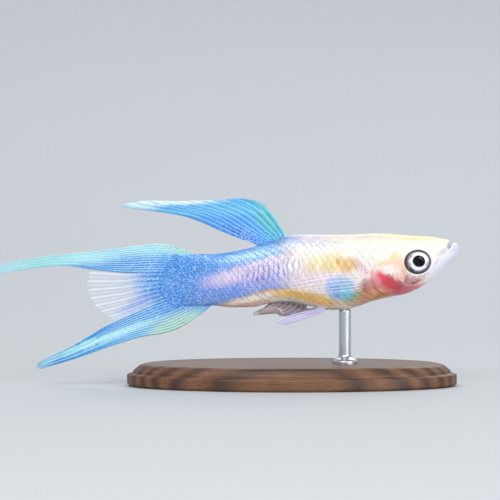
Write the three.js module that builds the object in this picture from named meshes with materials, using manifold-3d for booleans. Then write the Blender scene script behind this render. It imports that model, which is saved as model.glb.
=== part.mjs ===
// A male guppy with a double sword tail, life size and still, on a plain display stand.
// Millimetres. The head points to +X, +Z is up, and -Y is the fish's right flank.
// The origin is the centre of the underside of the stand's base.
import * as THREE from "three";
import { mergeVertices } from "three/addons/utils/BufferGeometryUtils.js";
import Module from "manifold-3d";

const wasm = await Module();
wasm.setup();

// Clearance kept between neighbouring pieces.
const GAP = 0.25;
// Grid that vertices are set on, distance under which they are one, and the height under which a
// triangle counts as a sliver, with how often slivers are looked for.
const GRID = 0.01;
const WELD = 1e-4;
const SLIVER = { height: 0.004, rounds: 4 };

// Stand: an oval base with a bevelled top edge, and one rod up to the belly.
const BASE = { halfLength: 19, halfWidth: 9.5, height: 2.6, bevel: 0.7, sides: 64 };
const ROD = { x: 6.1, radius: 0.7, reach: 1.2, collarRadius: 1.5, collarHeight: 0.8, collarStep: 0.48,
  sides: 24 };

// Body sections from the tail root to the lip. level is the height of the widest part, as a share
// of the depth, and square is the exponent of the oval: 2 is an ellipse, and more is boxier.
const BODY = {
  x: [-12.4, -11, -9, -7, -4.5, -2.3, -0.5, 1.6, 4.2, 5.6, 7.4, 9.4, 11.5, 13, 14.6, 15.8, 17.1, 18,
    18.6, 19, 19.19],
  top: [15.05, 15.12, 15.16, 15.42, 15.95, 16.6, 17.3, 17.42, 17.4, 17.4, 17.43, 17.56, 17.47, 17.35,
    17.25, 17.2, 17, 16.8, 16.52, 16.36, 16.0],
  bottom: [9.2, 9.25, 9.27, 9.08, 9.12, 9.6, 9.72, 9.3, 8.75, 8.76, 9.12, 9.8, 10.27, 10.58, 11.26,
    12.08, 13.29, 14.25, 14.8, 15.2, 15.55],
  half: [0.4, 0.55, 0.8, 1.05, 1.35, 1.6, 1.83, 2.07, 2.28, 2.36, 2.42, 2.42, 2.35, 2.22, 2.04, 1.84,
    1.52, 1.26, 1.06, 0.78, 0.45],
  level: [0.5, 0.5, 0.5, 0.5, 0.5, 0.5, 0.52, 0.52, 0.5, 0.5, 0.5, 0.5, 0.5, 0.52, 0.55, 0.58, 0.62,
    0.66, 0.66, 0.6, 0.5],
  square: [2, 2, 2, 2, 2, 2.05, 2.1, 2.15, 2.2, 2.2, 2.2, 2.25, 2.35, 2.45, 2.55, 2.6, 2.6, 2.5, 2.4,
    2.2, 2],
};
const RING = 36;
const SECTION_STEP = 0.66;
// Where the trunk and the head are cut from the whole body's length, before their ends are shaped.
const TRUNK = { from: -12.4, to: 12 };
const HEAD_FROM = 8.6;

// Hind edge of the gill cover, from nape to throat, which parts the head from the torso.
const GILL_EDGE = [[9.9, 18.4], [10.35, 16.2], [10.2, 15], [9.4, 14], [9.12, 12.7], [9.55, 11.4],
  [10.7, 10.3], [11.4, 8.4]];
// The cover rises from its hind edge and fades toward the eye, the back and the throat. back is how
// far the torso's face stands off, in gaps, as the edge runs aslant.
const GILL = { hind: 9.12, rise: 0.2, reach: 3.4, low: 10.4, high: 15.4, blend: 0.9, side: 3, back: 1.15,
  steps: 28 };
// Cheek ridge: the edge of the bone in front of the gill cover.
const CHEEK = { points: [[12.5, 15.2], [12.0, 14], [12.1, 12.7], [13.0, 11.7], [14.2, 11.6]], radius: 0.17,
  end: 0.06, sink: 0.07 };

const EYE = { x: 14.43, z: 14.29, radius: 1.52, tall: 0.9, dome: 0.42, depth: 0.75, sink: 0.12, yaw: 0.15,
  sides: 28 };
// Eye's profile from back to front: shares of its radius, and of its depth or its dome.
const LENS = [[0, -1], [0.55, -0.85], [0.86, -0.5], [1, 0], [0.86, 0.42], [0.6, 0.74], [0.3, 0.94], [0, 1]];
const ORBIT = { tube: 0.2, out: 0.1, sides: 28, section: 6 };
const NOSTRILS = { at: [[16.42, 16.3], [16.78, 16.05]], radius: 0.17, sides: 10, rings: 8 };

// The mouth opens upward: a notch between the upper lip and the longer lower jaw, from its corner
// along the lower jaw, up clear of the head and down along the upper lip.
const MOUTH = [[17.86, 15.6], [18.5, 16.42], [18.6, 18], [18.01, 18], [18.06, 16.45]];
const LIP = {
  upper: [[17.5, 1.3, 15.86], [17.86, 1.02, 16.42], [17.98, 0.5, 16.6], [18.0, 0, 16.63]],
  lower: [[18.0, 1.2, 15.45], [18.5, 1.0, 16.0], [18.82, 0.58, 16.2], [18.92, 0, 16.2]],
  radius: 0.17,
  corner: 0.08,
};

// Where the trunk is parted from the tail stalk, and the line where the tail fin takes over.
const STALK_X = -4.2;
const TAIL_ROOT_STEPS = 16;
const TAIL_ROOT = [[-11.15, 16.5], [-11.1, 15.1], [-11.15, 13.6], [-10.95, 12], [-10.6, 10.6], [-10.2, 9.2],
  [-9.9, 8]];

// Fins. Ray and web are full thicknesses at the root and at the tip, and edge is how far the outer
// rays stand in from the fin's edges, as a share of its breadth. Edges are points [x, z], from the
// root outward, and rise is the share of the rays' full height that a smaller fin has.
const FIN = { ray: 1.0, rayTip: 0.62, web: 0.52, webTip: 0.4, rim: 0.22, edge: 0.045, samples: 400 };

const DORSAL = {
  lead: [[-1.0, 16.4], [-0.85, 17.3], [-1.43, 18.5], [-2.39, 19.96], [-3.5, 21], [-4.7, 21.48]],
  margin: [[-4.7, 21.48], [-6.2, 21.63], [-8.4, 21.5], [-12.6, 21.4], [-17.4, 21.44], [-18.9, 21.2],
    [-20.1, 20.95]],
  trail: [[-3.3, 15.6], [-4.5, 16.42], [-6.3, 17.05], [-8.4, 17.9], [-10.5, 18.85], [-12.6, 19.54],
    [-16.7, 20.22], [-18.6, 20.42], [-20.1, 20.85]],
  base: [[-1.0, 16.4], [-3.3, 15.6]],
  rays: 8,
  rows: 13,
  rise: 0.85,
};
const SWORD_UP = {
  lead: [[-9.6, 14.6], [-11.2, 15.05], [-12, 15.53], [-13.4, 16.09], [-15, 16.33], [-17.4, 16.17],
    [-22.3, 15.53], [-28.7, 14.87], [-33.6, 13.94], [-36.3, 12.5]],
  trail: [[-9.6, 13.1], [-11.2, 13.1], [-15, 13], [-19.1, 12.98], [-22.3, 13.3], [-26, 13.8], [-28.7, 13.66],
    [-31.2, 13.26], [-33.6, 12.86], [-36.25, 12.14]],
  margin: [[-36.3, 12.5], [-36.25, 12.14]],
  base: [[-9.6, 14.6], [-9.6, 13.1]],
  rays: 9,
  rows: 15,
  rise: 1,
};
const TAIL_WEB = {
  lead: [[-9.5, 12.85], [-11.2, 12.85], [-15, 12.74], [-19.1, 12.7], [-22.3, 13], [-23.4, 13.1]],
  trail: [[-9.4, 11.4], [-11, 11.3], [-15, 10.1], [-18, 8.8], [-20.6, 7.6]],
  margin: [[-23.4, 13.1], [-23.7, 11.6], [-23.2, 9.8], [-21.9, 8.4], [-20.6, 7.6]],
  base: [[-9.5, 12.85], [-9.4, 11.4]],
  rays: 8,
  rows: 9,
  rise: 0.9,
};
const SWORD_LOW = {
  lead: [[-9.4, 11.1], [-10.9, 11], [-14.9, 9.82], [-17.9, 8.52], [-19.9, 7.6], [-21.5, 6.88], [-23.1, 5.92],
    [-25.5, 4.54], [-28.7, 2.96], [-29.4, 2.4]],
  trail: [[-8.9, 9.8], [-9.5, 9.05], [-10.7, 8.1], [-11.8, 7.3], [-13.4, 6.45], [-15, 6], [-17.4, 5.6],
    [-19.9, 4.86], [-24.7, 3.17], [-27.1, 2.45], [-29.2, 1.84]],
  margin: [[-29.4, 2.4], [-29.6, 2.1], [-29.2, 1.84]],
  base: [[-9.4, 11.1], [-8.9, 9.8]],
  rays: 9,
  rows: 14,
  rise: 1,
};
const ANAL = {
  lead: [[1.9, 9.9], [1.6, 8.9], [0.1, 8.14], [-1.5, 8.3], [-3, 8.22], [-4.5, 8.05]],
  trail: [[-1.9, 10.6], [-2.4, 9.9], [-3.1, 9.1], [-4.55, 8.45]],
  margin: [[-4.5, 8.05], [-4.55, 8.45]],
  base: [[1.9, 9.9], [-1.9, 10.6]],
  rays: 5,
  rows: 8,
  rise: 0.6,
};
const PELVIC = {
  lead: [[4.1, 9.5], [3.7, 8.7], [2.4, 8.05], [0.9, 7.6], [-0.7, 7.1]],
  margin: [[-0.7, 7.1], [-1.5, 7.2], [-1.84, 7.5]],
  trail: [[3.1, 9.6], [2.8, 9.0], [1.5, 8.65], [-0.3, 8.2], [-1.84, 7.5]],
  base: [[4.1, 9.5], [3.1, 9.6]],
  rays: 4,
  rows: 7,
  rise: 0.5,
  root: 0.95,
  splay: 0.75,
  splayLength: 6,
  farLift: 0.75,
  liftLength: 4,
};
const PECTORAL = {
  lead: [[8.3, 12.9], [7.2, 13.1], [4.4, 13.1], [1.4, 12.6], [-0.3, 12.2]],
  margin: [[-0.3, 12.2], [-0.7, 11.7], [-0.1, 11.2], [1.1, 10.95]],
  trail: [[8.3, 11.2], [7.3, 11.0], [4.9, 10.7], [2.8, 10.75], [1.1, 10.95]],
  base: [[8.3, 12.9], [8.3, 11.2]],
  rays: 7,
  rows: 7,
  rise: 0.5,
  root: 1.9,
  rootX: 8.3,
  stand: 3.15,
  spread: 1.3,
  bend: 0.6,
};

// Side swing of the tail, and lean of the dorsal fin. waves is how many ripples run along the tail,
// and slant how much they turn with height.
const SWAY = { start: -10, length: 26, swing: -1.1, ripple: 0.28, waves: 1.4, slant: 0.07 };
const LEAN = { start: 17, height: 4.5, amount: 0.5, middle: -4, wave: 5 };

const clamp01 = (t) => Math.min(1, Math.max(0, t));
const smooth = (t) => clamp01(t) ** 2 * (3 - 2 * clamp01(t));

// Monotone cubic through the stations of one body measure, so that nothing overshoots.
function measure(name, x) {
  const xs = BODY.x, ys = BODY[name];
  const slope = (i) => (ys[i + 1] - ys[i]) / (xs[i + 1] - xs[i]);
  const tangent = (i) => {
    if (i === 0) return slope(0);
    if (i === xs.length - 1) return slope(i - 1);
    const before = slope(i - 1), after = slope(i);
    return before * after <= 0 ? 0 : (2 * before * after) / (before + after);
  };
  let i = xs.findIndex((station) => station > x) - 1;
  if (i < 0) i = x <= xs[0] ? 0 : xs.length - 2;
  const span = xs[i + 1] - xs[i], t = clamp01((x - xs[i]) / span);
  return (
    ys[i] * (1 + 2 * t) * (1 - t) ** 2 + ys[i + 1] * t * t * (3 - 2 * t) +
    span * (tangent(i) * t * (1 - t) ** 2 - tangent(i + 1) * t * t * (1 - t))
  );
}

const section = (x) => {
  const top = measure("top", x), bottom = measure("bottom", x);
  return { top, bottom, half: measure("half", x), power: measure("square", x),
    mid: bottom + measure("level", x) * (top - bottom) };
};

// Half width of the body at a place on its side.
function flank(x, z) {
  const s = section(x);
  const t = z > s.mid ? (z - s.mid) / (s.top - s.mid) : (s.mid - z) / (s.mid - s.bottom);
  return s.half * (1 - clamp01(t) ** s.power) ** (1 / s.power);
}

function meshOf(points, triangles) {
  const g = new THREE.BufferGeometry();
  g.setAttribute("position", new THREE.Float32BufferAttribute(points.flat(), 3));
  g.setIndex(triangles.flat());
  return g;
}

// A closed skin over rings of equal count, with a fan at each end.
function skinOver(rings) {
  const points = rings.flat(), triangles = [], n = rings[0].length;
  const centre = (ring) => [0, 1, 2].map((k) => ring.reduce((sum, p) => sum + p[k], 0) / n);
  rings.slice(1).forEach((_, r) => {
    for (let j = 0; j < n; j++) {
      const a = r * n + j, b = r * n + ((j + 1) % n);
      triangles.push([a, b, b + n], [a, b + n, a + n]);
    }
  });
  const last = (rings.length - 1) * n;
  points.push(centre(rings[0]), centre(rings.at(-1)));
  for (let j = 0; j < n; j++) {
    const k = (j + 1) % n;
    triangles.push([k, j, points.length - 2], [last + j, last + k, points.length - 1]);
  }
  return meshOf(points, triangles);
}

const gillRise = (x, z) =>
  GILL.rise * smooth(1 - (x - GILL.hind) / GILL.reach) *
  smooth((z - GILL.low) / GILL.blend) * smooth((GILL.high - z) / GILL.blend);

// The body between two places along it, grown outward by grow. The head has the gill covers' rise.
function bodySolid(from, to, { grow = 0, gill = false } = {}) {
  const count = Math.ceil((to - from) / SECTION_STEP), rings = [];
  for (let i = 0; i <= count; i++) {
    const x = from + ((to - from) * i) / count, s = section(x), ring = [];
    for (let j = 0; j < RING; j++) {
      const a = ((j + 0.5) / RING) * 2 * Math.PI, c = Math.cos(a), d = Math.sin(a);
      const round = (v) => Math.sign(v) * Math.abs(v) ** (2 / s.power);
      const reach = d > 0 ? s.top - s.mid : s.mid - s.bottom;
      const z = s.mid + (reach + grow) * round(d);
      const rise = gill ? gillRise(x, z) * Math.min(1, Math.abs(c) * GILL.side) : 0;
      ring.push([x, (s.half + grow) * round(c) + Math.sign(c) * rise, z]);
    }
    rings.push(ring);
  }
  return solidOf(skinOver(rings));
}

function solidOf(geometry) {
  const g = geometry.clone();
  ["normal", "uv"].forEach((name) => g.deleteAttribute(name));
  const merged = mergeVertices(g, WELD);
  return new wasm.Manifold(new wasm.Mesh({
    numProp: 3,
    vertProperties: new Float32Array(merged.attributes.position.array),
    triVerts: new Uint32Array(merged.index.array),
  }));
}

function bufferOf(solid) {
  const m = solid.getMesh(), g = new THREE.BufferGeometry();
  g.setAttribute("position", new THREE.BufferAttribute(new Float32Array(m.vertProperties), 3));
  g.setIndex(new THREE.BufferAttribute(new Uint32Array(m.triVerts), 1));
  return g;
}

// Sets a cut surface's vertices on a fine grid, so that slivers along the cut close up. Triangles
// that collapse go, and so do two that come to lie back to back.
function settled(solid) {
  const g = bufferOf(solid), position = g.attributes.position;
  position.array.forEach((value, i) => {
    position.array[i] = Math.round(value / GRID) * GRID;
  });
  const merged = mergeVertices(g, GRID / 4), index = merged.index.array, kept = new Map();
  for (let i = 0; i < index.length; i += 3) {
    const corners = [...index.slice(i, i + 3)], key = [...corners].sort((a, b) => a - b).join();
    if (new Set(corners).size < 3) continue;
    if (!kept.delete(key)) kept.set(key, corners);
  }
  const triangles = [...kept.values()];
  merged.setIndex(withoutSlivers(triangles, merged.attributes.position).flat());
  return solidOf(merged);
}

// Turns the long edge of each sliver, a triangle whose corners lie almost in line, so that its
// middle corner joins the far corner of the neighbour across that edge.
function withoutSlivers(triangles, position) {
  const corner = (i) => new THREE.Vector3().fromBufferAttribute(position, i);
  const edges = new Map();
  const enter = (t) => triangles[t].forEach((a, k) => edges.set(a + "," + triangles[t][(k + 1) % 3], t));
  const leave = (t) => triangles[t].forEach((a, k) => edges.delete(a + "," + triangles[t][(k + 1) % 3]));
  triangles.forEach((_, t) => enter(t));
  for (let round = 0; round < SLIVER.rounds; round++)
    triangles.forEach((triangle, t) => {
      const p = triangle.map(corner), sides = [0, 1, 2].map((k) => p[k].distanceTo(p[(k + 1) % 3]));
      const longest = Math.max(...sides), k = sides.indexOf(longest);
      if ((2 * new THREE.Triangle(...p).getArea()) / longest > SLIVER.height) return;
      const a = triangle[k], b = triangle[(k + 1) % 3], m = triangle[(k + 2) % 3];
      const other = edges.get(b + "," + a);
      if (other === undefined) return;
      const c = triangles[other].find((i) => i !== a && i !== b);
      if (c === m || edges.has(m + "," + c) || edges.has(c + "," + m)) return;
      leave(t);
      leave(other);
      triangles[t] = [a, c, m];
      triangles[other] = [c, b, m];
      enter(t);
      enter(other);
    });
  return triangles;
}

// The largest closed surface of a solid.
function geometryOf(solid) {
  const pieces = settled(solid).decompose().sort((a, b) => b.volume() - a.volume());
  const flat = bufferOf(pieces[0]).toNonIndexed();
  flat.computeVertexNormals();
  return flat;
}

// A bar through the whole width of the fish, with an outline of [x, z] points.
function bar(outline, width = 12) {
  const shape = new THREE.Shape(outline.map(([x, z]) => new THREE.Vector2(x, z)));
  const g = new THREE.ExtrudeGeometry(shape, { depth: width, bevelEnabled: false });
  g.rotateX(Math.PI / 2).translate(0, width / 2, 0);
  return solidOf(g);
}

const curveThrough = (points) =>
  new THREE.CatmullRomCurve3(points.map(([x, z]) => new THREE.Vector3(x, z, 0)), false, "centripetal");
const along = (points, count) => curveThrough(points).getPoints(count).map((p) => [p.x, p.y]);
const shifted = (points, dx) => points.map(([x, z]) => [x + dx, z]);

// A round roll along points in space, thinner toward its ends.
function roll(points, radius, endRadius, sides = 6, steps = 16) {
  const path = new THREE.CatmullRomCurve3(points.map((p) => new THREE.Vector3(...p)));
  const frames = path.computeFrenetFrames(steps), rings = [];
  for (let i = 0; i <= steps; i++) {
    const centre = path.getPointAt(i / steps), ring = [];
    const r = endRadius + (radius - endRadius) * Math.sin((i / steps) * Math.PI) ** 0.5;
    for (let j = 0; j < sides; j++) {
      const a = (-j / sides) * 2 * Math.PI;
      ring.push(centre.clone().addScaledVector(frames.normals[i], -r * Math.cos(a))
        .addScaledVector(frames.binormals[i], -r * Math.sin(a)).toArray());
    }
    rings.push(ring);
  }
  const solid = solidOf(skinOver(rings));
  return solid.volume() > 0 ? solid : solidOf(skinOver(rings.map((ring) => ring.reverse())));
}

// A fin as a sheet between four edges, with its rays raised as ridges on both faces. place gives
// the sheet's middle Y at [x, z].
function finSolid({ lead, margin, trail, base, rays, rows, rise }, place) {
  const [leadAt, marginAt, trailAt, baseAt] = [lead, margin, trail, base].map((points) => {
    const curve = curveThrough(points);
    curve.arcLengthDivisions = FIN.samples;
    return (t) => curve.getPointAt(clamp01(t));
  });
  const columns = [{ v: 0, rim: true }];
  for (let i = 0; i < rays; i++) {
    const v = FIN.edge + ((1 - 2 * FIN.edge) * i) / (rays - 1);
    columns.push({ v, ray: true });
    if (i < rays - 1) columns.push({ v: v + (0.5 - FIN.edge) / (rays - 1) });
  }
  columns.push({ v: 1, rim: true });
  const corner = [baseAt(0), baseAt(1), marginAt(0), marginAt(1)];
  const at = (u, v) => {
    const p = new THREE.Vector3();
    p.addScaledVector(baseAt(v), 1 - u).addScaledVector(marginAt(v), u);
    p.addScaledVector(leadAt(u), 1 - v).addScaledVector(trailAt(u), v);
    p.addScaledVector(corner[0], -(1 - u) * (1 - v)).addScaledVector(corner[1], -(1 - u) * v);
    return p.addScaledVector(corner[2], -u * (1 - v)).addScaledVector(corner[3], -u * v);
  };
  const points = [], triangles = [], m = columns.length;
  for (let r = 0; r <= rows; r++) {
    const u = r / rows;
    columns.forEach(({ v, ray, rim }) => {
      const p = at(u, v), web = FIN.web + (FIN.webTip - FIN.web) * u;
      const crest = web + rise * (FIN.ray + (FIN.rayTip - FIN.ray) * u - web);
      const t = rim || r === rows ? FIN.rim : ray ? crest : web;
      const y = place(p.x, p.y);
      points.push([p.x, y - t / 2, p.y], [p.x, y + t / 2, p.y]);
    });
  }
  const id = (r, c, face) => 2 * (r * m + c) + face;
  for (let r = 0; r < rows; r++)
    for (let c = 0; c < m - 1; c++) {
      const [a, b, d, e] = [[r, c], [r, c + 1], [r + 1, c + 1], [r + 1, c]];
      triangles.push([id(...a, 0), id(...b, 0), id(...d, 0)], [id(...a, 0), id(...d, 0), id(...e, 0)]);
      triangles.push([id(...b, 1), id(...a, 1), id(...d, 1)], [id(...d, 1), id(...a, 1), id(...e, 1)]);
    }
  const border = [];
  for (let c = 0; c < m; c++) border.push([0, c]);
  for (let r = 1; r <= rows; r++) border.push([r, m - 1]);
  for (let c = m - 2; c >= 0; c--) border.push([rows, c]);
  for (let r = rows - 1; r > 0; r--) border.push([r, 0]);
  border.forEach((a, i) => {
    const b = border[(i + 1) % border.length];
    triangles.push([id(...b, 0), id(...a, 0), id(...a, 1)], [id(...b, 0), id(...a, 1), id(...b, 1)]);
  });
  const solid = solidOf(meshOf(points, triangles));
  return solid.volume() > 0 ? solid : solidOf(meshOf(points, triangles.map(([a, b, c]) => [a, c, b])));
}

function swayAt(x, z) {
  const s = clamp01((SWAY.start - x) / SWAY.length);
  return SWAY.swing * s * s + SWAY.ripple * s * Math.sin(2 * Math.PI * (SWAY.waves * s + SWAY.slant * z));
}
const leanAt = (x, z) =>
  LEAN.amount * smooth((z - LEAN.start) / LEAN.height) * Math.sin((x - LEAN.middle) / LEAN.wave);

// Bodies of the trunk, and the same grown by the gap, which the fins and the rod are cut by.
const gillEdge = along(GILL_EDGE, GILL.steps);
const FRONT = 30, LOW = 0, HIGH = 30;
const beforeGill = (dx) => bar([...shifted(gillEdge, dx), [FRONT, LOW], [FRONT, HIGH]].reverse());
const tailRoot = along(TAIL_ROOT, TAIL_ROOT_STEPS);
const behindRoot = (dx) => bar([...shifted(tailRoot, dx), [-FRONT, LOW], [-FRONT, HIGH]]);
const torso = bodySolid(STALK_X + GAP / 2, TRUNK.to).subtract(beforeGill(-GAP * GILL.back));
const stalk = bodySolid(TRUNK.from, STALK_X - GAP / 2).subtract(behindRoot(0));
const grownTrunk = bodySolid(TRUNK.from, TRUNK.to, { grow: GAP }).subtract(behindRoot(-GAP));

// Points of a roll that follows the head's side, a little sunk into it.
const onFlank = (points, side, sink) =>
  points.map(([x, z]) => [x, side * (flank(x, z) + gillRise(x, z) - sink), z]);

function eyeLens(side, grow) {
  const { radius, dome, depth, sides } = EYE;
  const height = (share) => share * (share < 0 ? depth + grow : dome);
  const profile = LENS.map(([a, b]) => new THREE.Vector2(a * (radius + grow), height(b)));
  const g = new THREE.LatheGeometry(profile, sides);
  g.scale(1, 1, EYE.tall);
  if (side < 0) g.rotateX(Math.PI);
  g.rotateZ(side * -EYE.yaw);
  return solidOf(g.translate(EYE.x, side * (flank(EYE.x, EYE.z) - EYE.sink), EYE.z));
}

function orbit(side) {
  const g = new THREE.TorusGeometry(EYE.radius + GAP + ORBIT.out, ORBIT.tube, ORBIT.section, ORBIT.sides);
  g.rotateX(Math.PI / 2).scale(1, 1, EYE.tall).rotateZ(side * -EYE.yaw);
  return solidOf(g.translate(EYE.x, side * (flank(EYE.x, EYE.z) - EYE.sink), EYE.z));
}

function headSolid() {
  const whole = bodySolid(HEAD_FROM, BODY.x.at(-1), { gill: true });
  let head = whole.intersect(beforeGill(0)).subtract(bar(MOUTH));
  [-1, 1].forEach((side) => {
    const cheek = roll(onFlank(CHEEK.points, side, CHEEK.sink), CHEEK.radius, CHEEK.end);
    head = head.add(cheek).add(orbit(side)).subtract(eyeLens(side, GAP));
  });
  [LIP.upper, LIP.lower].forEach((half) => {
    const across = [...half, ...half.slice(0, -1).reverse().map(([x, y, z]) => [x, -y, z])];
    head = head.add(roll(across, LIP.radius, LIP.corner));
  });
  for (const side of [-1, 1])
    for (const [x, z] of NOSTRILS.at) {
      const pit = new THREE.SphereGeometry(NOSTRILS.radius, NOSTRILS.sides, NOSTRILS.rings);
      head = head.subtract(solidOf(pit.translate(x, side * flank(x, z), z)));
    }
  return head;
}

// How far the paired fins stand out from the body's middle, from root to tip.
function pelvicOut(x) {
  const { root, splay, splayLength, base } = PELVIC;
  return root + splay * smooth((base[0][0] - x) / splayLength);
}

function pectoralOut(x) {
  const { root, stand, rootX, spread, bend } = PECTORAL;
  return root + (stand - root) * clamp01((rootX - x) / spread) ** bend;
}

// The far pelvic fin is held a little higher toward its tip.
const lifted = (fin, lift) => {
  const raise = ([x, z]) => [x, z + lift * smooth((fin.base[1][0] - x) / fin.liftLength)];
  return { ...fin, lead: fin.lead.map(raise), trail: fin.trail.map(raise), margin: fin.margin.map(raise) };
};

function standBase() {
  const { halfLength, halfWidth, height, bevel, sides } = BASE;
  const edge = [[halfWidth, 0], [halfWidth, height - bevel], [halfWidth - bevel, height]];
  const profile = [[0, 0], ...edge, [0, height]];
  const g = new THREE.LatheGeometry(profile.map(([r, z]) => new THREE.Vector2(r, z)), sides);
  g.rotateX(Math.PI / 2).scale(halfLength / halfWidth, 1, 1);
  return solidOf(g);
}

function standRod() {
  const { x, radius, collarRadius, collarHeight, collarStep, reach, sides } = ROD;
  const foot = BASE.height + GAP, top = section(x).bottom + reach;
  const profile = [[0, foot], [collarRadius, foot], [collarRadius, foot + collarStep],
    [radius, foot + collarHeight], [radius, top], [0, top]];
  const g = new THREE.LatheGeometry(profile.map(([r, z]) => new THREE.Vector2(r, z)), sides);
  return solidOf(g.rotateX(Math.PI / 2).translate(x, 0, 0)).subtract(grownTrunk);
}

// Finishes, as they look from a step away.
const FINISH = {
  pale: { color: 0xfff2e0, roughness: 0.4 },
  blue: { color: 0x6a9fe6, roughness: 0.4 },
  fin: { color: 0x6cc4f0, roughness: 0.45 },
  clear: { color: 0xd8dcf0, roughness: 0.35 },
  eye: { color: 0x16181c, roughness: 0.1 },
  wood: { color: 0x3a2a20, roughness: 0.5 },
  steel: { color: 0xc4c8cc, roughness: 0.3, metalness: 1 },
};

const guppy = new THREE.Group();
function addNode(name, finish, solid) {
  const mesh = new THREE.Mesh(geometryOf(solid), new THREE.MeshStandardMaterial(FINISH[finish]));
  mesh.name = name;
  guppy.add(mesh);
}

const rooted = (fin, place) => finSolid(fin, place).subtract(grownTrunk);

addNode("head", "pale", headSolid());
addNode("torso", "pale", torso);
addNode("tail_stalk", "blue", stalk);
addNode("dorsal_fin", "fin", rooted(DORSAL, leanAt));
addNode("tail_fin_upper_sword", "fin", rooted(SWORD_UP, swayAt));
addNode("tail_fin_middle", "clear", rooted(TAIL_WEB, swayAt));
addNode("tail_fin_lower_sword", "fin", rooted(SWORD_LOW, swayAt));
addNode("anal_fin", "clear", rooted(ANAL, () => 0));
for (const [name, side] of [["right", -1], ["left", 1]]) {
  addNode("eye_" + name, "eye", eyeLens(side, 0));
  const pelvic = side > 0 ? lifted(PELVIC, PELVIC.farLift) : PELVIC;
  addNode("pelvic_fin_" + name, "clear", rooted(pelvic, (x) => side * pelvicOut(x)));
  addNode("pectoral_fin_" + name, "clear", rooted(PECTORAL, (x) => side * pectoralOut(x)));
}
addNode("stand_base", "wood", standBase());
addNode("stand_rod", "steel", standRod());

export default guppy;
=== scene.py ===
"""A male guppy with a double sword tail, still and life size, on a small walnut stand.
Lengths are in millimetres in the frame of the solids, and meshes turn to metres when they are made.
The head points to +X, +Z is up, and -Y is the fish's right flank, which the camera sees."""
import math

import bmesh
import bpy
import numpy as np
from mathutils import Matrix, Vector


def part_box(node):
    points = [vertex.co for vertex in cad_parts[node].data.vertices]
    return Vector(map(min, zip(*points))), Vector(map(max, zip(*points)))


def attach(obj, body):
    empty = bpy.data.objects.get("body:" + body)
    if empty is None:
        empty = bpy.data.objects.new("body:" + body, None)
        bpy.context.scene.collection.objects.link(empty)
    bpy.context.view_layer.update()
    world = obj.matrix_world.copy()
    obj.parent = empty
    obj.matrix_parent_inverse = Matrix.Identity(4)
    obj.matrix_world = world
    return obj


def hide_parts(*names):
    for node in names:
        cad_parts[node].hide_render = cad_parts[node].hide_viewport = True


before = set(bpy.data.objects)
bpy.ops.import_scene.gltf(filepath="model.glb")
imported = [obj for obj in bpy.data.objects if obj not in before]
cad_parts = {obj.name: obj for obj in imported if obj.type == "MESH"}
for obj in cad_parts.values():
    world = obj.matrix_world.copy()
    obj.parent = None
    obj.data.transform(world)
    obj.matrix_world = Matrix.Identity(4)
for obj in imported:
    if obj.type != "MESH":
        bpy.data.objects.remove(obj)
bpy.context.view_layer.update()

MM = 0.001
BODY_NAME = "root"

# Sections of the body from the tail root to the lip, as in the solids. level is the height of the
# widest part as a share of the depth, and square is the oval's exponent.
BODY = {
    "x": [-15.4, -13.8, -12.4, -11, -9, -7, -4.5, -2.3, -0.5, 1.6, 4.2, 5.6, 7.4, 9.4, 11.5, 13, 14.6,
          15.8, 17.1, 18, 18.6, 19, 19.19],
    "top": [15.75, 15.3, 15.05, 15.12, 15.16, 15.42, 15.95, 16.6, 17.3, 17.42, 17.4, 17.4, 17.43, 17.56,
            17.47, 17.35, 17.25, 17.2, 17, 16.8, 16.52, 16.36, 16.0],
    "bottom": [7.9, 8.7, 9.2, 9.25, 9.27, 9.08, 9.12, 9.6, 9.72, 9.3, 8.75, 8.76, 9.12, 9.8, 10.27, 10.58,
               11.26, 12.08, 13.29, 14.25, 14.8, 15.2, 15.55],
    "half": [0.11, 0.15, 0.34, 0.54, 0.8, 1.05, 1.35, 1.6, 1.83, 2.07, 2.28, 2.36, 2.42, 2.42, 2.35, 2.22,
             2.04, 1.84, 1.52, 1.26, 1.06, 0.78, 0.45],
    "level": [0.5, 0.5, 0.5, 0.5, 0.5, 0.5, 0.5, 0.5, 0.52, 0.52, 0.5, 0.5, 0.5, 0.5, 0.5, 0.52, 0.55,
              0.58, 0.62, 0.66, 0.66, 0.6, 0.5],
    "square": [2, 2, 2, 2, 2, 2, 2, 2.05, 2.1, 2.15, 2.2, 2.2, 2.2, 2.25, 2.35, 2.45, 2.55, 2.6, 2.6, 2.5,
               2.4, 2.2, 2],
}
TAIL_END, SKIN_END, LIP_END = -15.4, -13.5, 19.19

GILL_EDGE = [(9.9, 18.4), (10.35, 16.2), (10.2, 15), (9.4, 14), (9.12, 12.7), (9.55, 11.4), (10.7, 10.3),
             (11.4, 8.4)]
GILL_RISE, GILL_REACH, GILL_LOW, GILL_HIGH, GILL_BLEND = 0.19, 3.4, 10.3, 15.5, 0.8
GILL_BRINK = 0.16  # length over which the raised cover falls to the flank
SLIT_DEPTH, SLIT_BACK, SLIT_WIDTH = 0.09, 0.14, 0.13
HEAD_START = 9.5
CHEEK_EDGE = [(12.5, 15.2), (12.0, 14), (12.1, 12.7), (13.0, 11.7), (14.2, 11.6)]
JAW_FOLD = [(17.75, 15.45), (17.2, 14.9), (16.6, 14.1), (16.2, 13.3)]
THROAT_FOLD = [(17.6, 14.5), (16.2, 13.0), (14.6, 11.95), (12.6, 11.1), (11.0, 10.75)]
CHEEK_RISE, CHEEK_WIDTH, FOLD_DEPTH, FOLD_WIDTH = 0.06, 0.17, 0.05, 0.12

FIN_ROOT, FIN_ROOT_SIZE, FIN_ROOT_RISE = (8.45, 12.05), (0.42, 0.95), 0.32  # fleshy root of the pectoral fin

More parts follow.
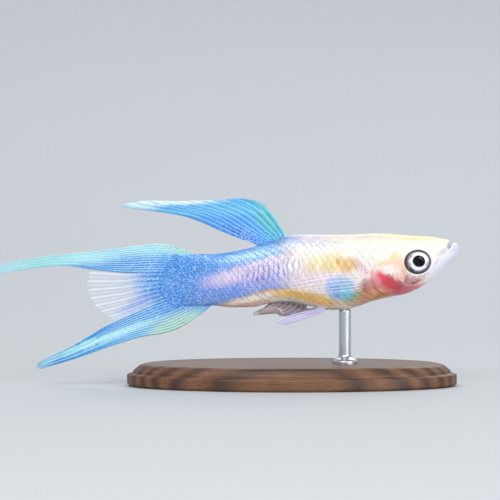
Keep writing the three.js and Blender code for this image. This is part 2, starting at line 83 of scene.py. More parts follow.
EYE_X, EYE_Z, EYE_RADIUS, EYE_TALL, EYE_DOME, EYE_DEPTH = 14.35, 14.34, 1.52, 0.9, 0.42, 0.75
EYE_SINK, EYE_YAW = 0.12, 0.15
EYE_RIM, EYE_RIM_RISE, EYE_RIM_WIDTH = 1.1, 0.1, 0.1  # raised ring of skin, as shares of the eye's radius
IRIS_RADIUS, IRIS_LEVEL, IRIS_DISH, PUPIL_REACH = EYE_RADIUS * 0.985, 0.10, 0.16, 0.45
PUPIL_SHIFT = (0.18, 0.18)  # the pupil sits a little forward of the eye's centre and above it
NOSTRILS, NOSTRIL_RADIUS = [(16.42, 16.3), (16.78, 16.05)], 0.14
MOUTH_CORNER, MOUTH_UPPER, MOUTH_LOWER, MOUTH_CLEAR = (17.86, 15.6), (18.04, 16.45), (18.46, 16.42), 18
LIP_UPPER = [(17.5, 1.3, 15.86), (17.86, 1.02, 16.42), (17.98, 0.5, 16.6), (18.0, 0, 16.63)]
LIP_LOWER = [(18.0, 1.16, 15.45), (18.42, 0.98, 15.98), (18.74, 0.55, 16.16), (18.84, 0, 16.18)]
LIP_UPPER_RADIUS, LIP_LOWER_RADIUS = 0.15, 0.22

FINS = {
    "dorsal": dict(
        lead=[(-1.0, 16.4), (-0.85, 17.3), (-1.43, 18.5), (-2.39, 19.96), (-3.5, 21), (-4.7, 21.48)],
        margin=[(-4.7, 21.48), (-6.2, 21.63), (-8.4, 21.5), (-12.6, 21.4), (-17.4, 21.44), (-18.9, 21.2),
                (-20.1, 20.95)],
        trail=[(-3.3, 15.6), (-4.5, 16.42), (-6.3, 17.05), (-8.4, 17.9), (-10.5, 18.85), (-12.6, 19.54),
               (-16.7, 20.22), (-18.6, 20.42), (-20.1, 20.85)]),
    "upper": dict(
        lead=[(-9.6, 14.6), (-11.2, 15.05), (-12, 15.53), (-13.4, 16.09), (-15, 16.33), (-17.4, 16.17),
              (-22.3, 15.53), (-28.7, 14.87), (-33.6, 13.94), (-36.3, 12.5)],
        margin=[(-36.3, 12.5), (-36.25, 12.14)],
        trail=[(-9.6, 13.1), (-11.2, 13.1), (-15, 13), (-19.1, 12.98), (-22.3, 13.3), (-26, 13.8),
               (-28.7, 13.66), (-31.2, 13.26), (-33.6, 12.86), (-36.25, 12.14)]),
    "web": dict(
        lead=[(-9.5, 13.1), (-11.2, 13.1), (-15, 13.0), (-19.1, 12.98), (-22.3, 13.2), (-23.4, 13.3)],
        margin=[(-23.4, 13.3), (-23.65, 11.6), (-23.2, 9.8), (-21.9, 8.4), (-20.6, 7.45)],
        trail=[(-9.4, 11.1), (-11, 11.0), (-15, 9.82), (-18, 8.5), (-20.6, 7.45)]),
    "lower": dict(
        lead=[(-9.4, 11.1), (-10.9, 11), (-14.9, 9.82), (-17.9, 8.52), (-19.9, 7.6), (-21.5, 6.88),
              (-23.1, 5.92), (-25.5, 4.54), (-28.7, 2.96), (-29.4, 2.4)],
        margin=[(-29.4, 2.4), (-29.6, 2.1), (-29.2, 1.86)],
        trail=[(-8.9, 9.8), (-9.5, 9.05), (-10.7, 8.1), (-11.8, 7.3), (-13.4, 6.45), (-15, 6),
               (-17.4, 5.6), (-19.9, 4.86), (-24.7, 3.17), (-27.1, 2.45), (-29.2, 1.86)]),
    "anal": dict(
        lead=[(1.9, 9.9), (1.6, 8.9), (0.1, 8.14), (-1.5, 8.3), (-3, 8.22), (-4.5, 8.08)],
        margin=[(-4.5, 8.08), (-4.53, 8.42)],
        trail=[(-1.9, 10.6), (-2.4, 9.9), (-3.1, 9.1), (-4.53, 8.42)]),
    "pelvic": dict(
        lead=[(4.1, 9.5), (3.7, 8.7), (2.4, 8.05), (0.9, 7.6), (-0.7, 7.1)],
        margin=[(-0.7, 7.1), (-1.5, 7.2), (-1.84, 7.5)],
        trail=[(3.1, 9.6), (2.8, 9.0), (1.5, 8.65), (-0.3, 8.2), (-1.84, 7.5)]),
    "pectoral": dict(
        lead=[(8.3, 12.9), (7.2, 13.1), (4.4, 13.1), (1.4, 12.6), (-0.3, 12.2)],
        margin=[(-0.3, 12.2), (-0.65, 11.7), (-0.1, 11.2), (1.1, 10.95)],
        trail=[(8.3, 11.2), (7.3, 11.0), (4.9, 10.7), (2.8, 10.75), (1.1, 10.95)]),
}

# Where along X the tail's rays begin to show on its speckled root, and over what length.
TAIL_RAYS, WEB_RAYS = (-12.8, 4.4), (-15.0, 4.6)

# Side swing of the tail and lean of the dorsal fin, as in the solids.
SWAY_START, SWAY_LENGTH, SWAY_SWING, SWAY_RIPPLE, SWAY_WAVES, SWAY_TILT = -10, 26, -1.1, 0.28, 1.4, 0.07
LEAN_START, LEAN_HEIGHT, LEAN_AMOUNT, LEAN_WAVE_START, LEAN_WAVE_LENGTH = 17, 4.5, 0.5, -4, 5

# How far the paired fins stand off the midline: at the root, how much more at the tip, and along X from
# where and over what length. The far pelvic fin is also lifted a little.
PELVIC_ROOT, PELVIC_FLARE, PELVIC_START, PELVIC_LENGTH = 0.95, 0.75, 4.1, 6
PECTORAL_ROOT, PECTORAL_FLARE, PECTORAL_START, PECTORAL_LENGTH = 1.9, 1.25, 8.3, 1.3
FAR_LIFT, FAR_LIFT_START, FAR_LIFT_LENGTH = 0.75, 3.1, 4

SIDES = ((-1, "right"), (1, "left"))

CAMERA_AIM = Vector((-4.83, 0, 15.64)) * MM
CAMERA_WIDTH, CAMERA_LENS, CAMERA_SENSOR, CAMERA_RISE = 57.5 * MM, 240, 36, math.radians(2.5)


def linear(hex_colour):
    """An sRGB hex colour as linear RGBA."""
    parts = [int(hex_colour[i:i + 2], 16) / 255 for i in (1, 3, 5)]
    return tuple(c / 12.92 if c <= 0.04045 else ((c + 0.055) / 1.055) ** 2.4 for c in parts) + (1.0,)


def smooth(t):
    t = np.clip(t, 0, 1)
    return t * t * (3 - 2 * t)


def bell(distance, width):
    return np.exp(-(distance / width) ** 2)


def measure(name, x):
    """A body measure along X, by a monotone cubic through its stations."""
    xs, ys = np.array(BODY["x"], float), np.array(BODY[name], float)
    slope = np.diff(ys) / np.diff(xs)
    before, after = slope[:-1], slope[1:]
    same = before * after > 0
    inner = np.where(same, 2 * before * after / np.where(same, before + after, 1), 0)
    tangent = np.concatenate([slope[:1], inner, slope[-1:]])
    i = np.clip(np.searchsorted(xs, x, side="right") - 1, 0, len(xs) - 2)
    span = xs[i + 1] - xs[i]
    t = np.clip((x - xs[i]) / span, 0, 1)
    return (ys[i] * (1 + 2 * t) * (1 - t) ** 2 + ys[i + 1] * t * t * (3 - 2 * t)
            + span * (tangent[i] * t * (1 - t) ** 2 - tangent[i + 1] * t * t * (1 - t)))


def spline(points, samples=40):
    """Dense points of a centripetal curve through points, evenly spaced, as a function of 0 to 1."""
    p = np.array(points, float)
    p = np.vstack([2 * p[0] - p[1], p, 2 * p[-1] - p[-2]])
    out = []
    for k in range(1, len(p) - 2):
        apart = np.sqrt(np.linalg.norm(np.diff(p[k - 1:k + 3], axis=0), axis=1))
        knots = np.concatenate([[0], np.cumsum(apart)])
        t = np.linspace(knots[1], knots[2], samples, endpoint=k == len(p) - 3)[:, None]
        near = [((knots[j + 1] - t) * p[k - 1 + j] + (t - knots[j]) * p[k + j]) / (knots[j + 1] - knots[j])
                for j in range(3)]
        wide = [((knots[j + 2] - t) * near[j] + (t - knots[j]) * near[j + 1]) / (knots[j + 2] - knots[j])
                for j in range(2)]
        out.append(((knots[2] - t) * wide[0] + (t - knots[1]) * wide[1]) / (knots[2] - knots[1]))
    dense = np.vstack(out)
    run = np.concatenate([[0], np.cumsum(np.linalg.norm(np.diff(dense, axis=0), axis=1))])
    run /= run[-1]
    return lambda u: np.stack([np.interp(u, run, dense[:, k]) for k in range(dense.shape[1])], -1)


GILL_CURVE = spline(GILL_EDGE)(np.linspace(0, 1, 200))[::-1]


def gill_x(z):
    """X of the gill cover's hind edge at a height."""
    return np.interp(z, GILL_CURVE[:, 1], GILL_CURVE[:, 0])


def distance_to(line, x, z):
    """Distance from places on the side to a drawn line, in millimetres."""
    drawn = spline(line)(np.linspace(0, 1, 60))
    return np.sqrt(np.min((x[..., None] - drawn[:, 0]) ** 2 + (z[..., None] - drawn[:, 1]) ** 2, axis=-1))


def eye_reach(x, z):
    """Distance from the eye's centre, where 1 is its rim."""
    return np.hypot(x - EYE_X, (z - EYE_Z) / EYE_TALL) / EYE_RADIUS


def relief(x, z):
    """How far the head's bones and folds stand out of the plain flank."""
    past = x - gill_x(z)
    window = smooth((z - GILL_LOW) / GILL_BLEND) * smooth((GILL_HIGH - z) / GILL_BLEND)
    cover = GILL_RISE * smooth(1 - past / GILL_REACH) * smooth(past / GILL_BRINK + 0.5) * window
    slit = -SLIT_DEPTH * bell(past + SLIT_BACK, SLIT_WIDTH) * window
    out = cover + slit
    root = np.hypot((x - FIN_ROOT[0]) / FIN_ROOT_SIZE[0], (z - FIN_ROOT[1]) / FIN_ROOT_SIZE[1])
    out += FIN_ROOT_RISE * bell(root, 1)
    head = x > HEAD_START
    if np.any(head):
        xs, zs = x[head], z[head]
        bones = CHEEK_RISE * bell(distance_to(CHEEK_EDGE, xs, zs), CHEEK_WIDTH)
        for fold in (JAW_FOLD, THROAT_FOLD):
            bones -= FOLD_DEPTH * bell(distance_to(fold, xs, zs), FOLD_WIDTH)
        bones += EYE_RIM_RISE * bell(eye_reach(xs, zs) - EYE_RIM, EYE_RIM_WIDTH)
        out[head] += bones
    return out


def sway(x, z):
    """How far the tail's middle sheet swings to the side."""
    s = np.clip((SWAY_START - x) / SWAY_LENGTH, 0, 1)
    return SWAY_SWING * s * s + SWAY_RIPPLE * s * np.sin(2 * np.pi * (SWAY_WAVES * s + SWAY_TILT * z))


def lean(x, z):
    """How far the dorsal fin's sheet leans and waves."""
    rise = smooth((z - LEAN_START) / LEAN_HEIGHT)
    return LEAN_AMOUNT * rise * np.sin((x - LEAN_WAVE_START) / LEAN_WAVE_LENGTH)


def body_points(x, angle, lift=0.0, bones=True):
    """Points of the body's surface, at places along it and angles round it, lifted outward."""
    x, angle = np.broadcast_arrays(np.asarray(x, float), np.asarray(angle, float))
    top, bottom, half, power = (measure(key, x) for key in ("top", "bottom", "half", "square"))
    mid = bottom + measure("level", x) * (top - bottom)
    c, s = np.cos(angle), np.sin(angle)
    oval = lambda v: np.sign(v) * np.abs(v) ** (2 / power)
    z = mid + np.where(s > 0, top - mid, mid - bottom) * oval(s)
    y = half * oval(c)
    # The relief fades out toward the middle of the back and of the belly.
    out = lift + (relief(x, z) * np.minimum(1, np.abs(c) * 3) if bones else 0)
    flat = s * half / np.maximum(top - mid, 0.1)
    size = np.hypot(c, flat)
    return np.stack([x, y + sway(x, z) + out * c / size, z + out * flat / size], -1)


def flank(x, z):
    """Half width of the body at a place on its side."""
    keys = ("top", "bottom", "level", "half", "square")
    top, bottom, level, half, power = (float(measure(key, np.array(x))) for key in keys)
    mid = bottom + level * (top - bottom)
    t = (z - mid) / (top - mid) if z > mid else (mid - z) / (mid - bottom)
    return half * (1 - min(1, t) ** power) ** (1 / power)


def mesh_object(name, points, faces, material=None, scale=MM):
    """A mesh object from points in millimetres, smooth shaded and linked to the scene."""
    mesh = bpy.data.meshes.new(name)
    mesh.from_pydata((np.asarray(points) * scale).tolist(), [], [tuple(map(int, f)) for f in faces])
    mesh.shade_smooth()
    obj = bpy.data.objects.new(name, mesh)
    bpy.context.scene.collection.objects.link(obj)
    if material:
        mesh.materials.append(material)
    return obj


def grid_faces(rows, columns, closed=False):
    """Quads of a grid of points, row by row. closed joins the last column to the first."""
    last = columns if closed else columns - 1
    r, c = np.meshgrid(np.arange(rows - 1), np.arange(last), indexing="ij")
    a, b = r * columns + c, r * columns + (c + 1) % columns
    return np.stack([a, b, b + columns, a + columns], -1).reshape(-1, 4)


def capped_faces(rows, around):
    """Faces of rings of points joined to a tube, and a cap at each end."""
    caps = range(around)[::-1], range((rows - 1) * around, rows * around)
    return [*grid_faces(rows, around, closed=True), *caps]


def sheet_faces(rows, columns):
    """Faces of two like grids of points, one over the other, and of the walls round their rims."""
    top, count = grid_faces(rows, columns), rows * columns
    grid = np.arange(count).reshape(rows, columns)
    rim = np.concatenate([grid[0], grid[1:, -1], grid[-1, -2::-1], grid[-2:0:-1, 0]])
    after = np.roll(rim, -1)
    walls = np.stack([after, rim, rim + count, after + count], -1)
    return np.vstack([top, top[:, ::-1] + count, walls])


def tube_mesh(points, radius, sides=10, steps=32, ends=0.5):
    """Points and faces of a round roll along a path, thinner at its ends."""
    path = spline(points)(np.linspace(0, 1, steps))
    along = np.gradient(path, axis=0)
    along /= np.linalg.norm(along, axis=1)[:, None]
    side = np.cross(along, (0.31, 0.12, 0.94))  # any direction that the path never takes
    side /= np.linalg.norm(side, axis=1)[:, None]
    up = np.cross(side, along)
    r = radius * (ends + (1 - ends) * np.sin(np.linspace(0, np.pi, steps)) ** 0.5)
    a = np.linspace(0, 2 * np.pi, sides, endpoint=False)
    ring = side[:, None] * np.cos(a)[:, None] + up[:, None] * np.sin(a)[:, None]
    rings = (path[:, None] + r[:, None, None] * ring).reshape(-1, 3)
    return rings, capped_faces(steps, sides)


def turned_rings(profile, sides):
    """Rings of points of a profile of (radius, height) turned round Z."""
    a = np.linspace(0, 2 * np.pi, sides, endpoint=False)
    return [np.stack([r * np.cos(a), r * np.sin(a), np.full(sides, h)], -1) for r, h in profile]


def lathe_mesh(profile, sides):
    """Points and faces of a profile of (radius, height) turned round Z, from axis to axis."""
    rings = turned_rings(profile[1:-1], sides)
    points = np.vstack([*rings, [(0, 0, profile[0][1]), (0, 0, profile[-1][1])]])
    low = len(rings) * sides
    here = np.arange(sides)
    after, last = (here + 1) % sides, low - sides
    bottom = np.stack([np.full(sides, low), after, here], -1)
    top = np.stack([np.full(sides, low + 1), last + here, last + after], -1)
    return points, [*grid_faces(len(rings), sides, closed=True), *bottom, *top]


def eye_frame(side):
    """Matrix that sets a shape turned round Z into the eye's place, looking outward."""
    outward = Matrix.Rotation(-side * math.pi / 2, 4, "X")
    place = Matrix.Translation((EYE_X, side * (flank(EYE_X, EYE_Z) - EYE_SINK), EYE_Z))
    return place @ Matrix.Rotation(-side * EYE_YAW, 4, "Z") @ Matrix.Diagonal((1, 1, EYE_TALL, 1)) @ outward


def moved(points, matrix):
    p = np.c_[np.asarray(points, float), np.ones(len(points))]
    return (p @ np.array(matrix).T)[:, :3]


def bake_modifiers(obj):
    """Applies an object's modifiers to its mesh."""
    evaluated = obj.evaluated_get(bpy.context.evaluated_depsgraph_get())
    mesh = bpy.data.meshes.new_from_object(evaluated)
    obj.modifiers.clear()
    obj.data = mesh


def orient_outward(obj):
    """Turns a closed mesh's faces outward."""
    shape = bmesh.new()
    shape.from_mesh(obj.data)
    if shape.calc_volume(signed=True) < 0:
        bmesh.ops.reverse_faces(shape, faces=shape.faces)
    shape.to_mesh(obj.data)
    shape.free()


def cut_away(body, cutter):
    orient_outward(cutter)
    cut = body.modifiers.new("cut", "BOOLEAN")
    cut.operation, cut.solver, cut.object = "DIFFERENCE", "EXACT", cutter
    bake_modifiers(body)
    bpy.data.objects.remove(cutter)


def node(tree, kind, inputs=None, **settings):
    """Adds one shader node to a tree. inputs maps its socket names or numbers to a value, to a socket to
    link, or to a node, whose first output in use is linked."""
    made = tree.nodes.new("ShaderNode" + kind)
    for name, value in settings.items():
        setattr(made, name, value)
    for name, value in (inputs or {}).items():
        if isinstance(value, bpy.types.Node):
            value = next(socket for socket in value.outputs if socket.enabled)
        if isinstance(value, bpy.types.NodeSocket):
            tree.links.new(value, made.inputs[name])
        else:
            made.inputs[name].default_value = value
    return made


def new_material(name):
    material = bpy.data.materials.new(name)
    material.use_nodes = True
    material.node_tree.nodes.clear()
    return material, material.node_tree


def fill_stops(ramp, stops):
    """Sets a colour ramp's stops from pairs of place and hex colour."""
    elements = ramp.color_ramp.elements
    while len(elements) < len(stops):
        elements.new(0.5)
    for element, (place, shade) in zip(elements, stops):
        element.position, element.color = place, linear(shade)


def grey(value):
    return (value, value, value, 1)


def places(tree, warp=0.0, grain=0.8):
    """Object coordinates in millimetres, wandering by warp over patches of grain."""
    raw = node(tree, "TexCoord").outputs["Object"]
    at = node(tree, "VectorMath", {0: raw, 1: (1 / MM,) * 3}, operation="MULTIPLY")
    if not warp:
        return at
    noise = node(tree, "TexNoise", {"Vector": at, "Scale": 1 / grain, "Detail": 2.5}).outputs["Color"]
    centred = node(tree, "VectorMath", {0: noise, 1: (0.5,) * 3}, operation="SUBTRACT")
    scaled = node(tree, "VectorMath", {0: centred, 1: (2 * warp,) * 3}, operation="MULTIPLY")
    return node(tree, "VectorMath", {0: at, 1: scaled}, operation="ADD")


def grained(tree, grain, rough, strength, depth, sockets, invert=False):
    """Ends a material whose roughness and bumps both follow one grain. rough is its least and its most,
    depth is the bumps' in millimetres, and sockets holds the shader's other values and links."""
    rough = node(tree, "MapRange", {"Value": grain, "To Min": rough[0], "To Max": rough[1]})
    bump = node(tree, "Bump", {"Height": grain, "Strength": strength, "Distance": depth * MM}, invert=invert)
    shader = node(tree, "BsdfPrincipled", {**sockets, "Roughness": rough, "Normal": bump})
    node(tree, "OutputMaterial", {"Surface": shader})


FAR = 1e4  # widens a marking without end across the body, so that both flanks carry it


def marking(tree, at, under, colour, x, z, length, height, turn=0.0, soft=0.5, strength=1.0):
    """Lays an oval marking over a colour. turn lifts its front end, in degrees."""
    local = node(tree, "Mapping", {"Vector": at, "Location": (x, 0, z), "Scale": (length, FAR, height),
                                   "Rotation": (0, math.radians(-turn), 0)}, vector_type="TEXTURE")
    reach = node(tree, "VectorMath", {0: local}, operation="LENGTH")
    mask = node(tree, "MapRange", {"Value": reach, "From Min": 1.0 + soft / 2, "From Max": 1.0 - soft / 2,
                                   "To Min": 0.0, "To Max": strength}, interpolation_type="SMOOTHSTEP")
    return node(tree, "Mix", {0: mask, 6: under, 7: colour}, data_type="RGBA")


def marked(tree, at, colour, marks):
    """Lays a table of markings over a colour, one after the other."""
    for shade, *oval in marks:
        colour = marking(tree, at, colour, linear(shade), *oval)
    return colour


SPECK_SIZE = 0.105  # bright and dark cells, drawn a little coarser than real ones so that they show
SPECK_STRETCH = (0.6, 1, 1)  # they lie in short dashes along the body, as its rows of cells do
# Channel of the cell's random colour that picks the cells, from which value on, and their colour. The bright
# cells are pale cyan, painted partly as glints of light off the silver cells.
GLINT_SPECKS, DARK_SPECKS = (0, 0.5, "#d4f2ff"), (1, 0.6, "#2f62cc")


def speckled(tree, at, colour, bright, dark):
    """Strews bright cells, painted partly as glints, and dark cells over a colour. bright and dark are their
    strengths.
    """
    long = node(tree, "VectorMath", {0: at, 1: SPECK_STRETCH}, operation="MULTIPLY")
    cells = node(tree, "TexVoronoi", {"Vector": long, "Scale": 1 / SPECK_SIZE})
    speck = node(tree, "MapRange", {"Value": cells, "From Min": 0.6, "From Max": 0.2})
    pick = node(tree, "SeparateColor", {0: cells.outputs["Color"]})
    for (channel, start, shade), strength in ((GLINT_SPECKS, bright), (DARK_SPECKS, dark)):
        chosen = node(tree, "Math", {0: pick.outputs[channel], 1: start}, operation="GREATER_THAN")
        shown = node(tree, "Math", {0: speck, 1: chosen}, operation="MULTIPLY")
        shown = node(tree, "Math", {0: shown, 1: strength}, operation="MULTIPLY")
        colour = node(tree, "Mix", {0: shown, 6: colour, 7: linear(shade)}, data_type="RGBA")
    return colour


# Markings of the flanks: colour, x, z, half length, half height, turn, softness, strength.
# Those of the pale front body come first, and the blue hind body is laid over them.
FLANK_MARKS = [
    ("#f4d9d8", 3.5, 17.5, 6.5, 0.5, 0, 1.0, 0.6),       # dusky pink rim of the back
    ("#b4c4f2", 1.2, 16.7, 3.4, 0.7, -4, 1.2, 0.45),      # bluish shoulder before the dorsal fin
    ("#f9dd9a", 4.3, 14.0, 2.9, 0.95, 2, 1.2, 0.9),      # yellow patch above the belly
    ("#e8b070", 6.4, 14.0, 1.0, 0.85, 10, 1.1, 0.75),    # amber spots
    ("#f6d0a4", -0.4, 15.3, 1.1, 0.28, 25, 1.2, 0.45),    # tan and yellow streaks above it
    ("#fbe0a4", 4.7, 15.15, 1.5, 0.26, 18, 1.2, 0.6),
    ("#fff8e4", 3.1, 14.2, 0.22, 0.6, -12, 1.2, 0.6),     # pale gaps in the yellow
    ("#fff8e4", 1.9, 13.9, 0.18, 0.5, 8, 1.2, 0.5),
    ("#f0a868", 5.35, 14.35, 0.3, 0.34, 10, 1.1, 0.6),
    ("#f8dcea", 2.2, 12.5, 3.4, 0.8, 4, 1.2, 0.7),       # pale pink flank under the yellow, painted lighter to offset the pectoral fin's shadow
    ("#dd9cc8", 8.0, 13.6, 1.3, 0.5, -50, 1.4, 0.45),    # lilac streak behind the gill cover
    ("#f0c8b4", -5.6, 9.2, 3.4, 0.75, 3, 0.7, 0.95),     # pinkish tan keel before the tail
    ("#ffd688", 0.5, 10.55, 3.9, 0.75, -11, 0.9, 0.95),  # gold band above the vent, painted lighter than its own gold to offset the underside's shade
    ("#f6bc5c", 1.2, 10.5, 2.4, 0.3, -14, 1.3, 0.6),
    ("#ffd07c", 3.6, 9.8, 1.9, 0.42, -14, 1.1, 0.85),
    ("#d98d62", 8.6, 10.8, 2.4, 1.15, 10, 0.9, 0.85),    # orange brown belly under the gill
    ("#b86a5c", 8.7, 11.7, 1.0, 0.65, 25, 1.0, 0.7),
    ("#e7b08c", 9.9, 10.6, 1.0, 0.35, 15, 1.0, 0.7),
    ("#a88c9c", 8.3, 12.1, 0.7, 0.42, 25, 1.2, 0.6),     # greyish lilac behind the gill
    ("#f8c8a0", 9.5, 10.55, 0.8, 0.16, 35, 1.2, 0.8),    # peach streak under it
    ("#fff1e0", -4.8, 9.95, 2.3, 0.22, 12, 0.9, 0.95),    # painted highlight: a cream line along the belly's lower edge, above the keel and the anal fin
    ("#fff1e0", -1.4, 10.05, 2.4, 0.24, -6, 0.9, 0.95),
    ("#fff1e0", 1.8, 9.45, 2.4, 0.26, -13, 0.9, 0.95),
    ("#fff4e6", 4.6, 8.95, 3.6, 0.4, 0, 1.2, 0.9),
    ("#8fc489", 6.9, 10.3, 1.2, 0.5, 22, 1.0, 0.65),     # green rim of the blue spot
    ("#86c0f4", 5.5, 11.4, 1.6, 1.4, 0, 0.7, 0.95),      # blue spot of the belly
    ("#5fd8ee", 6.1, 11.0, 0.85, 0.7, -30, 1.1, 0.8),
    ("#5f9aec", 5.0, 11.3, 0.5, 0.7, 10, 1.1, 0.6),
    ("#b4ccff", 4.9, 12.2, 0.8, 0.45, 0, 1.1, 0.7),
]
HEAD_MARKS = [
    ("#fbe39c", 14.5, 17.35, 3.6, 0.42, -4, 1.0, 0.9),   # golden rim of the head
    ("#fbd0b4", 12.3, 13.7, 0.9, 1.5, 10, 1.1, 0.8),     # peach behind the eye
    ("#f6b8ac", 11.6, 11.9, 3.1, 1.5, -22, 1.0, 0.7),    # flush round the gills
    ("#cf6a6c", 10.7, 11.5, 1.7, 0.62, -18, 1.2, 0.75),
    ("#dc3048", 11.0, 12.15, 1.6, 0.66, -32, 1.0, 0.95),  # bright red of the gills
    ("#d23e4e", 11.7, 11.7, 1.2, 0.6, -14, 1.1, 0.9),
    ("#ea5068", 10.15, 12.85, 0.6, 0.34, -50, 1.2, 0.8),  # its upper lobe, and pink behind it
    ("#f08c9c", 9.6, 12.3, 0.4, 0.45, -20, 1.3, 0.6),
    ("#a03a46", 12.4, 11.75, 0.4, 0.42, 0, 1.1, 0.75),
    ("#de6e80", 13.2, 11.1, 2.0, 0.5, 16, 0.9, 0.85),    # pink throat
    ("#d89468", 10.2, 10.5, 1.2, 0.35, 12, 1.0, 0.8),
    ("#f3d878", 11.5, 15.0, 0.5, 0.3, 25, 1.2, 0.7),    # yellow specks of the upper gill cover
    ("#f6cf9a", 10.6, 14.25, 0.9, 0.3, 12, 1.2, 0.7),
    ("#fff8f2", 11.25, 13.4, 1.0, 0.6, -12, 1.3, 0.85),  # white of the gill cover, with a painted highlight on its silvery bone
    ("#3c3038", 11.0, 12.92, 0.13, 0.11, 0, 1.0, 0.8),   # dark speck
    ("#c4868a", 13.6, 12.1, 1.3, 0.42, 12, 1.1, 0.85),   # rosy brown under the eye
    ("#8e6258", 13.1, 12.5, 0.42, 0.28, 50, 1.3, 0.7),
    ("#7a4650", 14.1, 12.1, 0.62, 0.14, 22, 1.2, 0.75),
    ("#8d8a86", 15.2, 12.83, 0.4, 0.07, 32, 0.8, 0.7),
    ("#c4c6cc", 16.5, 14.2, 0.5, 0.16, 40, 1.3, 0.8),  # painted shadow of the jaw's fold: grey streaks from eye to mouth
    ("#c2d0da", 17.3, 15.6, 0.8, 0.36, 48, 1.5, 0.8),
    ("#8ba2b2", 17.98, 16.25, 0.17, 0.5, 0, 1.1, 0.8),   # shaded side of the upper lip, at the notch
    ("#eceefc", 17.4, 14.3, 2.4, 0.5, 43, 0.9, 0.9),     # lilac white lower jaw
    ("#e3e6fb", 18.7, 15.8, 0.6, 0.6, 0, 0.8, 0.85),
    ("#c9cff2", 18.75, 15.9, 0.3, 0.45, 30, 1.3, 0.6),
]
HIND_MARKS = [
    ("#b0dcfa", -3.9, 15.4, 4.2, 0.5, 17, 1.1, 0.6),     # cyan streak under the dorsal fin
    ("#ffe2fa", -4.2, 13.4, 5.6, 0.95, 15, 0.9, 0.95),   # pink white band along the flank
    ("#fbe6fa", -1.4, 14.0, 3.2, 1.0, 14, 1.1, 0.85),
    ("#ccc6ff", -2.4, 12.2, 3.6, 0.75, 9, 1.1, 0.75),      # violet below the band
    ("#f8c27a", -1.9, 10.8, 2.8, 0.42, 4, 1.1, 0.9),     # gold band, fading out behind
    ("#4096ea", -13.8, 12.1, 3.2, 4.4, 0, 1.1, 0.85),     # stronger blue on the tail's root
]


# Colours from below to above. Those of the blue hind body lie in bands that climb toward the head.
PALE_LOW, PALE_HIGH = 9.0, 17.5
# The near-white and cream of the upper flank and back are the pale skin painted lighter, as the glare of the
# strong light from above.
PALE_STOPS = [(0.0, "#f4d9bc"), (0.25, "#fbeadb"), (0.55, "#fff8f0"), (0.9, "#fff3e2"), (1.0, "#f7e2c0")]
HIND_LOW, HIND_HIGH, HIND_CLIMB = 10.6, 16.6, 0.14
HIND_STOPS = [(0.0, "#7aaaf0"), (0.3, "#7f9cf4"), (0.5, "#a8b6fa"), (0.68, "#5e9ce8"), (1.0, "#4894e0")]
# X where the blue begins and where it is full, at the height BLUE_MIDDLE, and how much further forward that
# is for each millimetre above or below.
BLUE_START, BLUE_FULL, BLUE_MIDDLE, BLUE_LEAN = 0.9, -3.4, 13.6, 0.3
KEEL_ZONE = (-1.2, 10.0, 7.8, 1.1, 9, 0.4, 1.0)  # where the belly stays warm under the blue
BAR_SPACING, BAR_STRENGTH, BAR_ZONE = 0.58, 0.95, (-2.6, 13.2, 3.6, 1.1, 14, 1.1, 0.85)
CHEEK_ZONE = (12.8, 12.3, 2.4, 1.3, -10, 1.0, 0.6)
MOTTLE_SIZE, DOT_SPACING, SKIN_GRAIN = 0.35, 0.42, 0.12  # millimetres


def body_colour(tree, at):
    """Colour of skin and scales at a place, and how blue the place is."""
    split = node(tree, "SeparateXYZ", {0: at})
    x, z = split.outputs["X"], split.outputs["Z"]
    height = node(tree, "MapRange", {"Value": z, "From Min": PALE_LOW, "From Max": PALE_HIGH})
    pale = node(tree, "ValToRGB", {"Fac": height})
    fill_stops(pale, PALE_STOPS)
    pale = marked(tree, at, pale, FLANK_MARKS + HEAD_MARKS)
    # The blue starts further forward along the back and low on the flank than in between.
    tilt = node(tree, "Math", {0: z, 1: BLUE_MIDDLE}, operation="SUBTRACT")
    spread = node(tree, "Math", {0: tilt}, operation="ABSOLUTE")
    front = node(tree, "Math", {0: spread, 1: -BLUE_LEAN, 2: x}, operation="MULTIPLY_ADD")
    blue = node(tree, "MapRange", {"Value": front, "From Min": BLUE_START, "From Max": BLUE_FULL},
                interpolation_type="SMOOTHSTEP")
    blue = marking(tree, at, blue, grey(0), *KEEL_ZONE)
    axis = node(tree, "Math", {0: x, 1: -HIND_CLIMB, 2: z}, operation="MULTIPLY_ADD")
    over = node(tree, "MapRange", {"Value": axis, "From Min": HIND_LOW, "From Max": HIND_HIGH})
    hind = node(tree, "ValToRGB", {"Fac": over})
    fill_stops(hind, HIND_STOPS)
    hind = marked(tree, at, hind, HIND_MARKS)
    mixed = node(tree, "Mix", {0: blue, 6: pale, 7: hind}, data_type="RGBA")
    # Narrow violet bars cross the pale band, one to each row of scales.
    turn = node(tree, "Math", {0: x, 1: 2 * math.pi / BAR_SPACING}, operation="MULTIPLY")
    wave = node(tree, "Math", {0: turn}, operation="SINE")
    bar = node(tree, "MapRange", {"Value": wave, "From Min": 0.0, "To Max": BAR_STRENGTH})
    zone = marking(tree, at, grey(0), grey(1), *BAR_ZONE)
    share = node(tree, "Math", {0: bar, 1: zone}, operation="MULTIPLY")
    return node(tree, "Mix", {0: share, 6: mixed, 7: linear("#8470d2")}, data_type="RGBA"), blue


